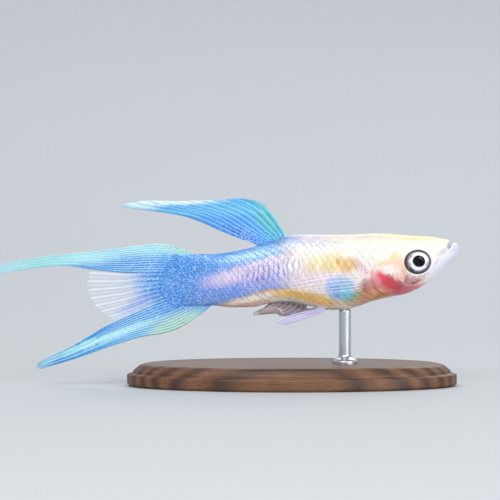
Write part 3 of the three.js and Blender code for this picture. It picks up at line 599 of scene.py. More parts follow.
def fish_skin():
    """Living skin over bright silver cells, wet. It is pearly and soft at the front of the body and
    glitters blue behind, where each scale has a darker hind edge and single cells carry painted cyan glints."""
    material, tree = new_material("wet_pearly_fish_skin")
    at = places(tree, warp=0.4, grain=0.9)
    fixed = places(tree)
    colour, blue = body_colour(tree, at)
    edge = node(tree, "Attribute", attribute_name="edge").outputs["Fac"]
    tone = node(tree, "Attribute", attribute_name="tone").outputs["Fac"]
    # Edges of scales: strong where the body is blue, faint where it is pale.
    share = node(tree, "MapRange", {"Value": blue, "To Min": 0.02, "To Max": 0.34})
    dark = node(tree, "Math", {0: edge, 1: share}, operation="MULTIPLY")
    rim = node(tree, "Mix", {0: blue, 6: linear("#c9a890"), 7: linear("#3d5cc8")}, data_type="RGBA")
    colour = node(tree, "Mix", {0: dark, 6: colour, 7: rim}, data_type="RGBA")
    # Specks are dense where the body is blue, thin on its pale front, and the head has none. The bright ones
    # are painted glints.
    split = node(tree, "SeparateXYZ", {0: at})
    dense = node(tree, "MapRange", {"Value": blue, "To Min": 0.15, "To Max": 0.9})
    trunk = node(tree, "MapRange", {"Value": split.outputs["X"], "From Min": 9.0, "From Max": 6.0})
    bright = node(tree, "Math", {0: dense, 1: trunk}, operation="MULTIPLY")
    dim = node(tree, "Math", {0: blue, 1: 0.45}, operation="MULTIPLY")
    colour = speckled(tree, fixed, colour, bright, dim)
    # Mottling on the cheek, where blood and dark pigment show through thin bone.
    mottle = node(tree, "TexNoise", {"Vector": fixed, "Scale": 1 / MOTTLE_SIZE, "Detail": 4.0})
    dark = node(tree, "MapRange", {"Value": mottle, "From Min": 0.5, "From Max": 0.68})
    cheek = marking(tree, at, grey(0), grey(1), *CHEEK_ZONE)
    stain = node(tree, "Math", {0: dark, 1: cheek}, operation="MULTIPLY")
    colour = node(tree, "Mix", {0: stain, 6: colour, 7: linear("#a0605c")}, data_type="RGBA")
    # Each scale is a little lighter or darker than the next.
    light = node(tree, "MapRange", {"Value": tone, "To Min": 0.92, "To Max": 1.08})
    colour = node(tree, "VectorMath", {0: colour, "Scale": light}, operation="SCALE")
    # Dusky lilac dots of 0.2 mm on the back.
    dots = node(tree, "TexVoronoi", {"Vector": fixed, "Scale": 1 / DOT_SPACING})
    near = node(tree, "MapRange", {"Value": dots, "From Min": 0.36, "From Max": 0.2})
    back = node(tree, "MapRange", {"Value": split.outputs["Z"], "From Min": 15.0, "From Max": 16.2})
    behind = node(tree, "MapRange", {"Value": split.outputs["X"], "From Min": 7.0, "From Max": 2.0})
    where = node(tree, "Math", {0: back, 1: behind}, operation="MULTIPLY")
    dot = node(tree, "Math", {0: near, 1: where}, operation="MULTIPLY")
    dot = node(tree, "Math", {0: dot, 1: 0.6}, operation="MULTIPLY")
    colour = node(tree, "Mix", {0: dot, 6: colour, 7: linear("#8088c4")}, data_type="RGBA")
    # The silver cells act as metal where the body is blue, and fine bumps break up the wet gloss.
    metal = node(tree, "MapRange", {"Value": blue, "To Min": 0.0, "To Max": 0.2})
    grain = node(tree, "TexNoise", {"Vector": fixed, "Scale": 1 / SKIN_GRAIN, "Detail": 2.0})
    grained(tree, grain, (0.26, 0.46), 0.25, 0.03, {
        "Base Color": colour, "Metallic": metal, "IOR": 1.38, "Coat Weight": 0.5, "Coat Roughness": 0.12,
        "Subsurface Weight": 0.12, "Subsurface Radius": (1.0, 0.6, 0.45), "Subsurface Scale": 0.35 * MM})
    return material


# Colours of the fins: base, then ovals as on the flanks.
DORSAL_MARKS = [
    ("#3a92ea", -7.0, 18.2, 5.0, 1.7, -22, 1.2, 0.95),   # blue of the hind lower part
    ("#2c68d8", -5.6, 17.2, 2.2, 0.5, -28, 1.0, 0.85),   # darkest by the root
    ("#3db4ae", -2.9, 19.5, 2.9, 1.15, -58, 1.3, 0.85),  # sea green leading part
    ("#6cc6f2", -9.0, 20.4, 5.0, 0.8, 0, 1.3, 0.6),
    ("#f2fbff", -14.8, 21.2, 6.0, 0.42, 1, 1.0, 0.95),   # white upper edge toward the tip
    ("#d2edfb", -18.4, 20.8, 3.0, 0.7, 0, 1.0, 0.8),
]
TAIL_MARKS = [
    ("#409cf0", -13.6, 12.0, 3.8, 3.6, 0, 1.0, 0.9),     # speckled blue of the root
    ("#3480da", -16.4, 12.2, 3.4, 1.8, 0, 1.1, 0.8),
    ("#a4e0ec", -15.6, 16.0, 5.2, 0.95, -2, 1.0, 0.9),  # pale rim of the upper lobe, greener in front
    ("#b8ecd0", -13.4, 15.7, 2.4, 0.5, -20, 1.2, 0.75),
    ("#b8e0c8", -13.2, 7.0, 3.6, 1.3, 22, 1.0, 0.9),     # pale green front of the lower lobe
    ("#3288dc", -18.5, 14.0, 4.0, 0.6, 0, 1.1, 0.8),
    ("#2f86dc", -18.0, 8.2, 4.0, 0.5, 26, 1.1, 0.7),
    ("#c4f4f4", -28.0, 14.4, 8.5, 0.95, 6, 1.2, 0.95),    # paler toward the swords' tips
    ("#62b2ea", -24.0, 4.2, 7.5, 1.4, 21, 0.9, 0.8),      # lighter lower sword, palest along its middle
    ("#c2f2f4", -22.3, 5.2, 7.0, 0.42, 20, 1.3, 0.95),
    ("#d8f4fc", -33.8, 13.3, 3.2, 0.8, 10, 1.1, 0.8),
    ("#c8ecf8", -28.9, 2.5, 1.6, 0.7, 24, 1.0, 0.7),
]
WEB_MARKS = [
    ("#1c90e0", -12.8, 12.0, 5.8, 3.8, 0, 0.9, 0.95),
    ("#4a88ea", -17.8, 9.6, 2.8, 0.6, 28, 1.0, 0.7),
]
WEB_CLEAR = [("#f6f6f6", -12.6, 12.0, 5.4, 3.8, 0, 0.6, 1.0), ("#c8c8c8", -17.6, 9.4, 2.8, 0.6, 28, 1.0, 0.8)]
ANAL_MARKS = [
    ("#7d6a6c", -0.6, 9.2, 2.6, 0.45, -8, 1.0, 0.8),     # dusky, and darker along the body with painted shade
    ("#4a3a40", -0.3, 9.4, 2.5, 0.15, -13, 1.0, 0.9),     # painted shade along its root, where the fin meets the belly
    ("#8e94aa", 0.4, 8.6, 0.9, 0.28, 0, 1.1, 0.6),
    ("#cfc0bc", -3.2, 8.75, 1.2, 0.3, 12, 1.0, 0.8),
    ("#5a4648", -3.3, 8.95, 1.2, 0.1, 33, 0.9, 0.75),     # dark hind outline
    ("#fff2ea", -1.35, 8.65, 0.6, 0.08, -47, 1.0, 0.85),  # one white ray
    ("#f8f4f8", -4.3, 8.3, 0.5, 0.25, 10, 1.0, 0.95),    # white hooded tip
]


# Where the fins are as densely speckled as the body.
TAIL_SPECKS = (-13.6, 12.0, 5.6, 4.6, 0, 0.8)
DORSAL_SPECKS = (-4.6, 17.0, 3.6, 1.0, -25, 1.2)
NO_SPECKS = (0.0, 0.0, 0.01, 0.01)
RAY_JOINTS, FIN_GRAIN = 0.3, 0.1  # millimetres


def fin_material(name, base, marks, rays, sparkle, membrane, ray_alpha, clear=(), ray_share=0.75,
                 zone=TAIL_SPECKS):
    """A wet fin: thin membrane between horny rays. The membrane takes its colour from the markings,
    the rays are paler and less clear, and bright cells, painted partly as glints, sparkle in the membrane,
    most in a zone."""
    material, tree = new_material(name)
    at = places(tree)
    wandering = places(tree, warp=0.3, grain=0.7)
    ray = node(tree, "Attribute", attribute_name="ray").outputs["Fac"]
    colour = marked(tree, wandering, linear(base), marks)
    bright = marking(tree, at, grey(sparkle), grey(0.9), *zone)
    dim = node(tree, "Math", {0: bright, 1: 0.7}, operation="MULTIPLY")
    colour = speckled(tree, at, colour, bright, dim)
    # Rays are jointed: short darker lines cross them.
    split = node(tree, "SeparateXYZ", {0: at})
    turn = node(tree, "Math", {0: split.outputs["X"], 1: 2 * math.pi / RAY_JOINTS}, operation="MULTIPLY")
    wave = node(tree, "Math", {0: turn}, operation="SINE")
    joint = node(tree, "MapRange", {"Value": wave, "From Min": 0.6, "To Min": ray_share,
                                    "To Max": ray_share * 0.6})
    amount = node(tree, "Math", {0: ray, 1: joint}, operation="MULTIPLY")
    colour = node(tree, "Mix", {0: amount, 6: colour, 7: linear(rays)}, data_type="RGBA")
    solid = marked(tree, wandering, grey(membrane), clear)
    alpha = node(tree, "Mix", {0: ray, 6: solid, 7: grey(ray_alpha)}, data_type="RGBA")
    alpha = node(tree, "SeparateColor", {0: alpha})
    grain = node(tree, "TexNoise", {"Vector": at, "Scale": 1 / FIN_GRAIN, "Detail": 2.0})
    grained(tree, grain, (0.25, 0.45), 0.3, 0.03, {
        "Base Color": colour, "Alpha": alpha, "IOR": 1.38, "Coat Weight": 0.3, "Coat Roughness": 0.15})
    return material


# Grey patches of the iris and its rim, as on the flanks: painted shade, which widens the dark rim in places.
EYE_MARKS = [
    ("#3a3646", 13.62, 13.52, 0.42, 0.16, -45, 1.0, 0.85),
    ("#8f8c9a", 13.42, 13.95, 0.2, 0.34, 0, 1.2, 0.6),
    ("#8884b6", 15.44, 14.1, 0.16, 0.36, -12, 1.2, 0.7),
    ("#5e5868", 14.98, 13.4, 0.4, 0.13, 30, 1.0, 0.7),
    ("#8a8686", 13.5, 14.95, 0.36, 0.16, 42, 1.0, 0.65),
]
# From the middle of the pupil to the eye's rim: black pupil, bright ring, silver iris, dark grey rim. The
# dark grey rim is painted shade of the socket and of the cornea's edge.
EYE_STOPS = [(0.0, "#040507"), (0.515, "#050608"), (0.54, "#e8e2d4"), (0.58, "#ffffff"), (0.76, "#f2f0f8"),
             (0.84, "#9a95a2"), (0.91, "#625c68"), (1.0, "#4a454e")]


def eyeball_material():
    """The eye's silver iris, which is bright metal-like cells with fine radial streaks, round a black
    pupil, and its dark grey rim, which is painted shade of the socket and of the cornea's edge."""
    material, tree = new_material("silver_iris_and_pupil")
    reach = node(tree, "Attribute", attribute_name="reach").outputs["Fac"]
    turn = node(tree, "Attribute", attribute_name="turn").outputs["Fac"]
    streak = node(tree, "TexNoise", {"W": turn, "Scale": 9.0, "Detail": 4.0}, noise_dimensions="1D")
    shifted = node(tree, "Math", {0: streak, 1: 0.05, 2: reach}, operation="MULTIPLY_ADD")
    ramp = node(tree, "ValToRGB", {"Fac": shifted})
    fill_stops(ramp, EYE_STOPS)
    colour = marked(tree, places(tree), ramp, EYE_MARKS)
    metal = node(tree, "MapRange", {"Value": reach, "From Min": 0.5, "From Max": 0.54, "To Max": 0.3})
    shader = node(tree, "BsdfPrincipled", {"Base Color": colour, "Metallic": metal, "Roughness": 0.3,
                                           "IOR": 1.4, "Specular IOR Level": 0.1})
    node(tree, "OutputMaterial", {"Surface": shader})
    return material


def cornea_material():
    """The clear cornea: it shows only as a gloss over the iris."""
    material, tree = new_material("clear_cornea")
    clear = node(tree, "BsdfTransparent")
    gloss = node(tree, "BsdfGlossy", {"Roughness": 0.04})
    facing = node(tree, "LayerWeight", {"Blend": 0.5}).outputs["Facing"]
    steep = node(tree, "Math", {0: facing, 1: 5.0}, operation="POWER")
    share = node(tree, "MapRange", {"Value": steep, "To Min": 0.006, "To Max": 0.6})
    mix = node(tree, "MixShader", {0: share, 1: clear, 2: gloss})
    node(tree, "OutputMaterial", {"Surface": mix})
    return material


def walnut():
    """Oiled walnut, turned and sanded: brown with darker growth bands, short pores and a satin gloss."""
    material, tree = new_material("oiled_walnut")
    at = places(tree, warp=0.5, grain=9.0)
    stretched = node(tree, "VectorMath", {0: at, 1: (0.12, 1.0, 1.0)}, operation="MULTIPLY")
    # A wave of scale 1 repeats about every third of a millimetre, so these bands are 1.5 mm apart.
    bands = node(tree, "TexWave", {"Vector": stretched, "Scale": 1 / 1.5 / 3, "Distortion": 4.0,
                                   "Detail": 3.0}, bands_direction="Y")
    ramp = node(tree, "ValToRGB", {"Fac": bands.outputs["Fac"]})
    fill_stops(ramp, [(0.0, "#4a2f20"), (1.0, "#7a5236")])
    # Pores are about 0.14 mm wide and 1.7 mm long.
    fine = node(tree, "VectorMath", {0: at, 1: (0.5, 6.0, 6.0)}, operation="MULTIPLY")
    pores = node(tree, "TexNoise", {"Vector": fine, "Scale": 1.2, "Detail": 4.0})
    pore = node(tree, "MapRange", {"Value": pores, "From Min": 0.56, "From Max": 0.68, "To Max": 0.6})
    colour = node(tree, "Mix", {0: pore, 6: ramp, 7: linear("#2b1a11")}, data_type="RGBA")
    grained(tree, pores, (0.34, 0.52), 0.25, 0.05, {"Base Color": colour, "IOR": 1.5}, invert=True)
    return material


def turned_steel():
    """Stainless steel, turned on a lathe: fine rings round the rod widen its highlights."""
    material, tree = new_material("turned_stainless_steel")
    # The rings are about 0.06 mm apart.
    ringed = node(tree, "VectorMath", {0: places(tree), 1: (0.3, 0.3, 8.0)}, operation="MULTIPLY")
    rings = node(tree, "TexNoise", {"Vector": ringed, "Scale": 2.0, "Detail": 3.0})
    grained(tree, rings, (0.2, 0.38), 0.15, 0.02, {"Base Color": linear("#c9ccd0"), "Metallic": 1.0})
    return material


def matt_paper():
    """Matt paper for the floor: faintly cloudy from its fibres, without gloss."""
    material, tree = new_material("matt_paper")
    fibre = node(tree, "TexNoise", {"Vector": places(tree), "Scale": 1 / 0.8, "Detail": 3.0})
    tint = node(tree, "Mix", {0: fibre, 6: linear("#c3c7cb"), 7: linear("#c9cdd1")}, data_type="RGBA")
    shader = node(tree, "BsdfPrincipled", {"Base Color": tint, "Roughness": 0.9})
    node(tree, "OutputMaterial", {"Surface": shader})
    return material


def add_attribute(obj, name, values):
    layer = obj.data.attributes.new(name, "FLOAT", "POINT")
    layer.data.foreach_set("value", np.ascontiguousarray(values, dtype=np.float32))


def finish_piece(obj, slot, *nodes):
    """Rides a piece on the body and hides the solids that it stands for. slot is not used."""
    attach(obj, BODY_NAME)
    if nodes:
        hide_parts(*nodes)


SKIN_ROWS, SKIN_AROUND, SKIN_VOXEL = 340, 120, 0.062
# Half width of the wedge that opens the mouth, wider than the snout, and how far it flares above the lips.
WEDGE_HALF, WEDGE_FLARE = 4, (0.25, 0.05)
# The eye's socket turned round its axis, with its radius as a share of the full one, and a nostril's pit.
SOCKET_GAP = 0.05
SOCKET_PROFILE = [(0, -EYE_DEPTH - 0.1), (0.6, -EYE_DEPTH), (0.9, -0.4), (1, 0), (1, 0.3), (0.9, 0.8),
                  (0, 1.0)]
PIT_PROFILE = [(0, -1), (0.7, -0.7), (1, 0), (0.7, 0.7), (0, 1)]


def open_mouth(skin):
    """Cuts the mouth's wedge out of the snout, from the mouth's corner to clear above it."""
    (cx, cz), (ux, uz), (lx, lz) = MOUTH_CORNER, MOUTH_UPPER, MOUTH_LOWER
    front, back = (lx + WEDGE_FLARE[0], MOUTH_CLEAR), (ux - WEDGE_FLARE[1], MOUTH_CLEAR)
    outline = [(cx, cz), (lx, lz), front, back, (ux, uz)]
    wedge = [(x, y, z) for y in (-WEDGE_HALF, WEDGE_HALF) for x, z in outline]
    n = len(outline)
    faces = [range(n)[::-1], range(n, 2 * n), *grid_faces(2, n, closed=True)]
    cut_away(skin, mesh_object("wedge", wedge, faces, scale=1))


def open_sockets(skin):
    """Cuts the sockets of the eyes and the pits of the nostrils."""
    grown = EYE_RADIUS + SOCKET_GAP
    for side, _ in SIDES:
        ball, ball_faces = lathe_mesh([(r * grown, h) for r, h in SOCKET_PROFILE], 48)
        cut_away(skin, mesh_object("socket", moved(ball, eye_frame(side)), ball_faces, scale=1))
        for x, z in NOSTRILS:
            pit, pit_faces = lathe_mesh(PIT_PROFILE, 14)
            size = Matrix.Diagonal((NOSTRIL_RADIUS,) * 3 + (1,))
            place = Matrix.Translation((x, side * flank(x, z), z)) @ size
            cut_away(skin, mesh_object("pit", moved(pit, place), pit_faces, scale=1))


def make_skin(material):
    """One closed skin from lip to tail root, with mouth, lips, nostrils, eye sockets and the gill
    cover's raised edge, worked in millimetres and then scaled."""
    x = np.linspace(SKIN_END, LIP_END, SKIN_ROWS)[:, None]
    angle = (np.arange(SKIN_AROUND) + 0.5)[None, :] / SKIN_AROUND * 2 * np.pi
    points = body_points(x, angle).reshape(-1, 3)
    plain = mesh_object("plain", points, capped_faces(SKIN_ROWS, SKIN_AROUND), scale=1)
    open_mouth(plain)
    open_sockets(plain)
    points = [v.co[:] for v in plain.data.vertices]
    faces = [p.vertices[:] for p in plain.data.polygons]
    bpy.data.objects.remove(plain)
    for half, radius in ((LIP_UPPER, LIP_UPPER_RADIUS), (LIP_LOWER, LIP_LOWER_RADIUS)):
        across = half + [(x, -y, z) for x, y, z in half[-2::-1]]
        roll, roll_faces = tube_mesh(across, radius)
        faces += [[len(points) + i for i in face] for face in roll_faces]
        points += roll.tolist()
    skin = mesh_object("skin", points, faces, scale=1)
    fuse = skin.modifiers.new("fuse", "REMESH")
    fuse.mode, fuse.voxel_size = "VOXEL", SKIN_VOXEL
    even = skin.modifiers.new("even", "SMOOTH")
    even.factor, even.iterations = 0.5, 2
    bake_modifiers(skin)
    skin.data.transform(Matrix.Diagonal((MM, MM, MM, 1)))
    skin.data.materials.append(material)
    skin.data.shade_smooth()
    finish_piece(skin, "skin_pale", "head", "torso", "tail_stalk")


# One scale's outline: places along it, 0 at its root and 1 at its free edge, and its half width.
SCALE_ALONG = np.array([0.0, 0.22, 0.45, 0.66, 0.84, 0.95, 1.0])
SCALE_WIDTH = np.array([0.8, 0.95, 1.0, 0.97, 0.86, 0.64, 0.36])
SCALE_ACROSS = np.linspace(-1, 1, 7)
SCALE_END, SCALE_BOW, TAIL_MIDDLE = -14.7, 0.2, 12.1  # scales end in a curve on the tail fin's root
SCALE_ROWS = 22  # scales round the body, 11 on each flank
SCALE_THICK, SCALE_LIFT, SCALE_SINK, SCALE_CROWN, SCALE_TILT = 0.022, 0.036, 0.03, 0.012, 0.004
SCALE_FIRST, SCALE_LAST = -15.0, 13.0  # X of the first and the last column
NAPE_LOW, NAPE_FRONT = 15.7, 12.8
# Spacing of the scales along a row, which grows from the tail forward, and a scale's size as shares of it
# and of a row's turn.
STEP_SMALL, STEP_GAIN, STEP_START, STEP_LENGTH = 0.48, 0.32, -13, 14
SCALE_LENGTH, SCALE_SHIFT, SCALE_HALF, SCALE_ROUNDING = 1.55, 0.35, 0.60, 0.10
LIFT_LENGTH, EDGE_LENGTH = 3, 4  # the scales rise and their edges darken over these lengths from the tail fin
CALM_SHARE, CALM_START, CALM_LENGTH = 0.85, -3, 6  # the scales of the front body lie flatter
EDGE_START, EDGE_SIDE = 0.62, 0.6  # where a scale's dark edge begins, along it and across
MAP_PATCH = 0.003  # size of one scale's patch of the map


def scale_spots():
    """Roots of the scales, in staggered columns from the tail forward: X, angle and spacing."""
    spots, x, column = [], SCALE_FIRST, 0
    while x < SCALE_LAST:
        step = STEP_SMALL + STEP_GAIN * float(smooth((x - STEP_START) / STEP_LENGTH))
        for row in range(SCALE_ROWS):
            angle = (row + (0.25 if column % 2 else 0.75)) / SCALE_ROWS * 2 * np.pi
            z = body_points(x, angle, bones=False)[2]
            nape = z > NAPE_LOW and x < NAPE_FRONT
            on_fin = x < SCALE_END + SCALE_BOW * (z - TAIL_MIDDLE) ** 2
            if (x + 0.1 < gill_x(z) or nape) and not on_fin:
                spots.append((x, angle, step))
        x += step / 2
        column += 1
    return spots


def make_scales(material):
    """Overlapping scales over the body behind the gill cover and on the nape, one joined mesh for
    each flank, with each scale's patch of the map at its root's place on the unwrapped skin."""
    rng, spots = np.random.default_rng(7), scale_spots()
    along, across = np.meshgrid(SCALE_ALONG, SCALE_ACROSS, indexing="ij")
    wide = across * np.interp(along, SCALE_ALONG, SCALE_WIDTH)
    bow = along - SCALE_ROUNDING * across ** 2 * (along > 0.8)
    crown = SCALE_CROWN * (1 - across ** 2)
    rim = np.maximum((along - EDGE_START) / (1 - EDGE_START), (np.abs(across) - EDGE_SIDE) / (1 - EDGE_SIDE))
    rim = np.tile(np.clip(rim, 0, 1).reshape(-1) ** 1.5, 2)
    template, count = sheet_faces(*along.shape), 2 * along.size
    for side, name in SIDES:
        points, faces, edges, tones, maps = [], [], [], [], []
        for x, angle, step in spots:
            if np.sign(np.cos(angle)) != side:
                continue
            tone, tilt = rng.uniform(), rng.normal(0, SCALE_TILT)
            px = np.clip(x - bow * (step * SCALE_LENGTH) + step * SCALE_SHIFT, TAIL_END + 0.05, LIP_END)
            pa = angle + wide * (SCALE_HALF * 2 * np.pi / SCALE_ROWS)
            calm = 1 - CALM_SHARE * float(smooth((x - CALM_START) / CALM_LENGTH))
            lift = SCALE_LIFT * calm * float(smooth((x - TAIL_END) / LIFT_LENGTH))
            height = -SCALE_SINK + (lift + SCALE_SINK) * smooth(along * 1.1) + crown
            height = height + tilt * across
            faces.append(template + len(points) * count)
            sheets = [body_points(px, pa, height - sunk).reshape(-1, 3) for sunk in (0, SCALE_THICK)]
            points.append(np.vstack(sheets))
            edges.append(rim * float(smooth((x - TAIL_END) / EDGE_LENGTH)))
            tones.append(np.full(count, tone))
            u = (x - TAIL_END) / (LIP_END - TAIL_END)
            v = (angle + np.pi / 2) % (2 * np.pi) / (2 * np.pi)
            patch = np.stack([u + MAP_PATCH * (along - 0.5), v + MAP_PATCH * across / 2], -1)
            maps.append(np.tile(patch.reshape(-1, 2), (2, 1)))
        faces = np.vstack(faces)
        if side > 0:
            faces = faces[:, ::-1]
        coat = mesh_object(f"scales_{name}", np.vstack(points), faces, material)
        add_attribute(coat, "edge", np.concatenate(edges))
        add_attribute(coat, "tone", np.concatenate(tones))
        layer = coat.data.uv_layers.new(name="OFBake")
        corners = np.empty(len(coat.data.loops), np.int32)
        coat.data.loops.foreach_get("vertex_index", corners)
        spread = np.clip(np.vstack(maps)[corners], 0.001, 0.999)
        layer.data.foreach_set("uv", spread.astype(np.float32).ravel())
        finish_piece(coat, "skin_pale")
        print(coat.name, len(coat.data.polygons) * 2, "triangles")


def fin_sheet(fin, u, v):
    """Points of a fin's middle sheet between its straight root and its three drawn edges. u runs from
    root to tip and v from the leading edge to the trailing edge."""
    lead, margin, trail = (spline(fin[edge]) for edge in ("lead", "margin", "trail"))
    u3, v3 = u[..., None], v[..., None]
    straight = (1 - v3) * np.array(fin["margin"][0]) + v3 * np.array(fin["margin"][-1])
    return (1 - v3) * lead(u) + v3 * trail(u) + u3 * (margin(v) - straight)


# A ray's half width as a share of the rays' spacing, how much of it is lost where the ray forks, and how
# much a lasting ray gains where its neighbours end.
RAY_WIDTH, RAY_LOSS, RAY_GAIN = 0.17, 0.09, 1.2


def ray_pattern(u, v, rays, splits, reach=1.0):
    """Height of the rays from 0 to 1. Each ray forks at the places in splits, as real ones do, and
    two of each three end by the place reach."""
    pitch = 1 / (rays - 1)
    out = np.zeros_like(u)
    for i in range(rays):
        lasting = 1 if i % 3 == 0 or reach >= 1 else 1 - smooth((u - reach + 0.2) / 0.2)
        centre = i * pitch
        offsets = [np.zeros_like(u)]
        for level, place in enumerate(splits):
            apart = pitch / 4 / 2 ** level * smooth((u - place) / 0.25)
            offsets = [o + s * apart for o in offsets for s in (-1, 1)]
        fork = splits[0] if splits else 2
        width = pitch * (RAY_WIDTH - RAY_LOSS * smooth((u - fork) / 0.3))
        if reach < 1 and i % 3 == 0:
            width = width * (1 + RAY_GAIN * smooth((u - reach + 0.1) / 0.2))
        for o in offsets:
            out = np.maximum(out, bell(v - centre - o, width) * lasting)
    return out


PER_RAY, WEB_THICK, FIN_FRAY, FIN_PLEAT = 12, 0.10, 0.015, 0.05
FIN_THINNING = 0.55  # how much thinner a fin is at its tip
# Over what share of the fin its side rims and its tip thin out, and what is left there.
SIDE_RIM, SIDE_LEFT, TIP_RIM, TIP_LEFT = 0.02, 0.35, 0.03, 0.3


def make_fin(name, fin, material, slot, solid, place, rays, splits=(), rows=110, rise=0.16, reach=1.0,
             start=None):
    """A thin fin with its rays raised on both faces. place gives the sheet's middle Y. start is where
    along X the rays begin to show, and over what length, on a root that is scaled."""
    columns = (rays - 1) * PER_RAY + 1
    u, v = np.meshgrid(np.linspace(0, 1, rows), np.linspace(0, 1, columns), indexing="ij")
    tips = ray_pattern(np.ones(columns), v[0], rays, splits, reach)
    sheet = fin_sheet(fin, u * (1 - FIN_FRAY * (1 - tips)[None, :]), v)
    x, z = sheet[..., 0], sheet[..., 1]
    ray = ray_pattern(u, v, rays, splits, reach)
    if start:
        ray = ray * smooth((start[0] - x) / start[1])
    rims = np.minimum(1, np.minimum(v, 1 - v) / SIDE_RIM + SIDE_LEFT)
    rims = rims * np.minimum(1, (1 - u) / TIP_RIM + TIP_LEFT)
    thick = (WEB_THICK + rise * ray) * (1 - FIN_THINNING * u) * rims
    y = place(x, z) + FIN_PLEAT * np.cos(2 * np.pi * v * (rays - 1)) * smooth(u * 3)
    points = [np.stack([x, y + face * thick / 2, z], -1).reshape(-1, 3) for face in (-1, 1)]
    obj = mesh_object(name, np.vstack(points), sheet_faces(rows, columns), material)
    add_attribute(obj, "ray", np.tile(ray.reshape(-1), 2))
    orient_outward(obj)
    finish_piece(obj, slot, solid)


def lifted(fin):
    """The far pelvic fin's outline, lifted toward its tip."""
    lift = lambda x: FAR_LIFT * float(smooth((FAR_LIFT_START - x) / FAR_LIFT_LENGTH))
    return {edge: [(x, z + lift(x)) for x, z in points] for edge, points in fin.items()}


def make_fins():
    """The fins in nine pieces, each with the material of its membrane."""
    sail = fin_material("blue_dorsal_membrane", "#3ca4e4", DORSAL_MARKS, "#a8e2fb", 0.3, 0.92, 1.0,
                        ray_share=0.6, zone=DORSAL_SPECKS)
    sword = fin_material("blue_tail_membrane", "#3896dc", TAIL_MARKS, "#ccf4f8", 0.4, 0.92, 1.0,
                         ray_share=0.85)
    window = fin_material("clear_tail_membrane", "#dfe8f6", WEB_MARKS, "#f4f8ff", 0.3, 0.08, 0.6, WEB_CLEAR)
    dusky = fin_material("dusky_anal_membrane", "#a3949a", ANAL_MARKS, "#b8a8a8", 0.1, 0.75, 0.9,
                         zone=NO_SPECKS)
    lilac = fin_material("clear_lilac_membrane", "#cfc4f0", (), "#fbf8ff", 0.1, 0.5, 0.9, zone=NO_SPECKS)
    glassy = fin_material("glassy_pectoral_membrane", "#f6eefa", (), "#fbf6ff", 0.0, 0.05, 0.32,
                          zone=NO_SPECKS)
    make_fin("dorsal_fin_rays", FINS["dorsal"], sail, "fin_blue", "dorsal_fin", lean, 11, (0.5,), rows=120)
    make_fin("tail_upper_rays", FINS["upper"], sword, "fin_blue", "tail_fin_upper_sword", sway, 13,
             rows=150, reach=0.62, start=TAIL_RAYS)
    make_fin("tail_web_rays", FINS["web"], window, "fin_clear", "tail_fin_middle", sway, 8, (0.45,),
             rows=90, start=WEB_RAYS)
    make_fin("tail_lower_rays", FINS["lower"], sword, "fin_blue", "tail_fin_lower_sword", sway, 13,
             rows=140, reach=0.68, start=TAIL_RAYS)
    make_fin("anal_fin_rays", FINS["anal"], dusky, "fin_clear", "anal_fin", lambda x, z: 0 * x, 8, rows=50,
             rise=0.1)
    hip = lambda x: PELVIC_ROOT + PELVIC_FLARE * smooth((PELVIC_START - x) / PELVIC_LENGTH)
    flare = lambda x: np.clip((PECTORAL_START - x) / PECTORAL_LENGTH, 0, 1) ** 0.6
    for side, name in SIDES:
        pelvic = FINS["pelvic"] if side < 0 else lifted(FINS["pelvic"])
        make_fin(f"pelvic_rays_{name}", pelvic, lilac, "fin_clear", f"pelvic_fin_{name}",
                 lambda x, z: side * hip(x), 5, rows=50)
        make_fin(f"pectoral_rays_{name}", FINS["pectoral"], glassy, "fin_clear", f"pectoral_fin_{name}",
                 lambda x, z: side * (PECTORAL_ROOT + PECTORAL_FLARE * flare(x)), 7, (0.55,), rows=70,
                 rise=0.08)


def make_eye(side, name, ball_material, cornea):
    """An eyeball, whose iris dishes in toward the pupil, and the clear cornea over it."""
    rings, sides = 26, 72
    front = []
    for r in np.linspace(0, 1, rings)[1:]:
        dish = IRIS_DISH * float(smooth(r / PUPIL_REACH)) * (1 - r * r)
        front.append((IRIS_RADIUS * r, IRIS_LEVEL + dish - IRIS_LEVEL * r * r))
    back = [(EYE_RADIUS * 0.55, -0.62), (EYE_RADIUS * 0.9, -0.32)]
    points, faces = lathe_mesh([(0, -EYE_DEPTH), *back, *front[::-1], (0, IRIS_LEVEL)], sides)
    x, y = points[:, 0], points[:, 1]
    inward = 1 - np.clip(np.hypot(x, y) / IRIS_RADIUS, 0, 1)
    shift = np.array(PUPIL_SHIFT) * (1, -side) * inward[:, None] ** 0.5
    ball = mesh_object(f"eyeball_{name}", moved(points, eye_frame(side)), faces, ball_material)
    add_attribute(ball, "reach", np.hypot(x - shift[:, 0], y - shift[:, 1]) / IRIS_RADIUS)
    add_attribute(ball, "turn", np.abs(np.arctan2(y, x)) * 2)
    orient_outward(ball)
    finish_piece(ball, "eye", f"eye_{name}")
    quarter = np.linspace(0, math.pi / 2, 16)
    dome = [(EYE_RADIUS * math.sin(t), EYE_DOME * math.cos(t)) for t in quarter]
    inner = [(r * 0.96, h * 0.9 - 0.02) for r, h in dome]
    points, faces = lathe_mesh([(0, inner[0][1])] + inner[1:] + dome[:0:-1] + [(0, EYE_DOME)], sides)
    shell = mesh_object(f"cornea_{name}", moved(points, eye_frame(side)), faces, cornea)
    orient_outward(shell)
    finish_piece(shell, "eye")


def rounded(profile, radius, steps=5):
    """Rounds the inner corners of a profile by arcs of about radius."""
    out = [profile[0]]
    for before, corner, after in zip(profile, profile[1:], profile[2:]):
        b, c, a = (Vector(p) for p in (before, corner, after))
        r = min(radius, (b - c).length / 2.2, (a - c).length / 2.2)
        start, end = c + (b - c).normalized() * r, c + (a - c).normalized() * r
        for k in range(steps + 1):
            t = k / steps
            out.append(tuple((1 - t) ** 2 * start + 2 * t * (1 - t) * c + t * t * end))
    return out + [profile[-1]]


ROD_RADIUS, ROD_SUNK, ROD_HIDDEN = 0.7, 0.3, 0.2  # its collar sinks into the base, and its top into the fish


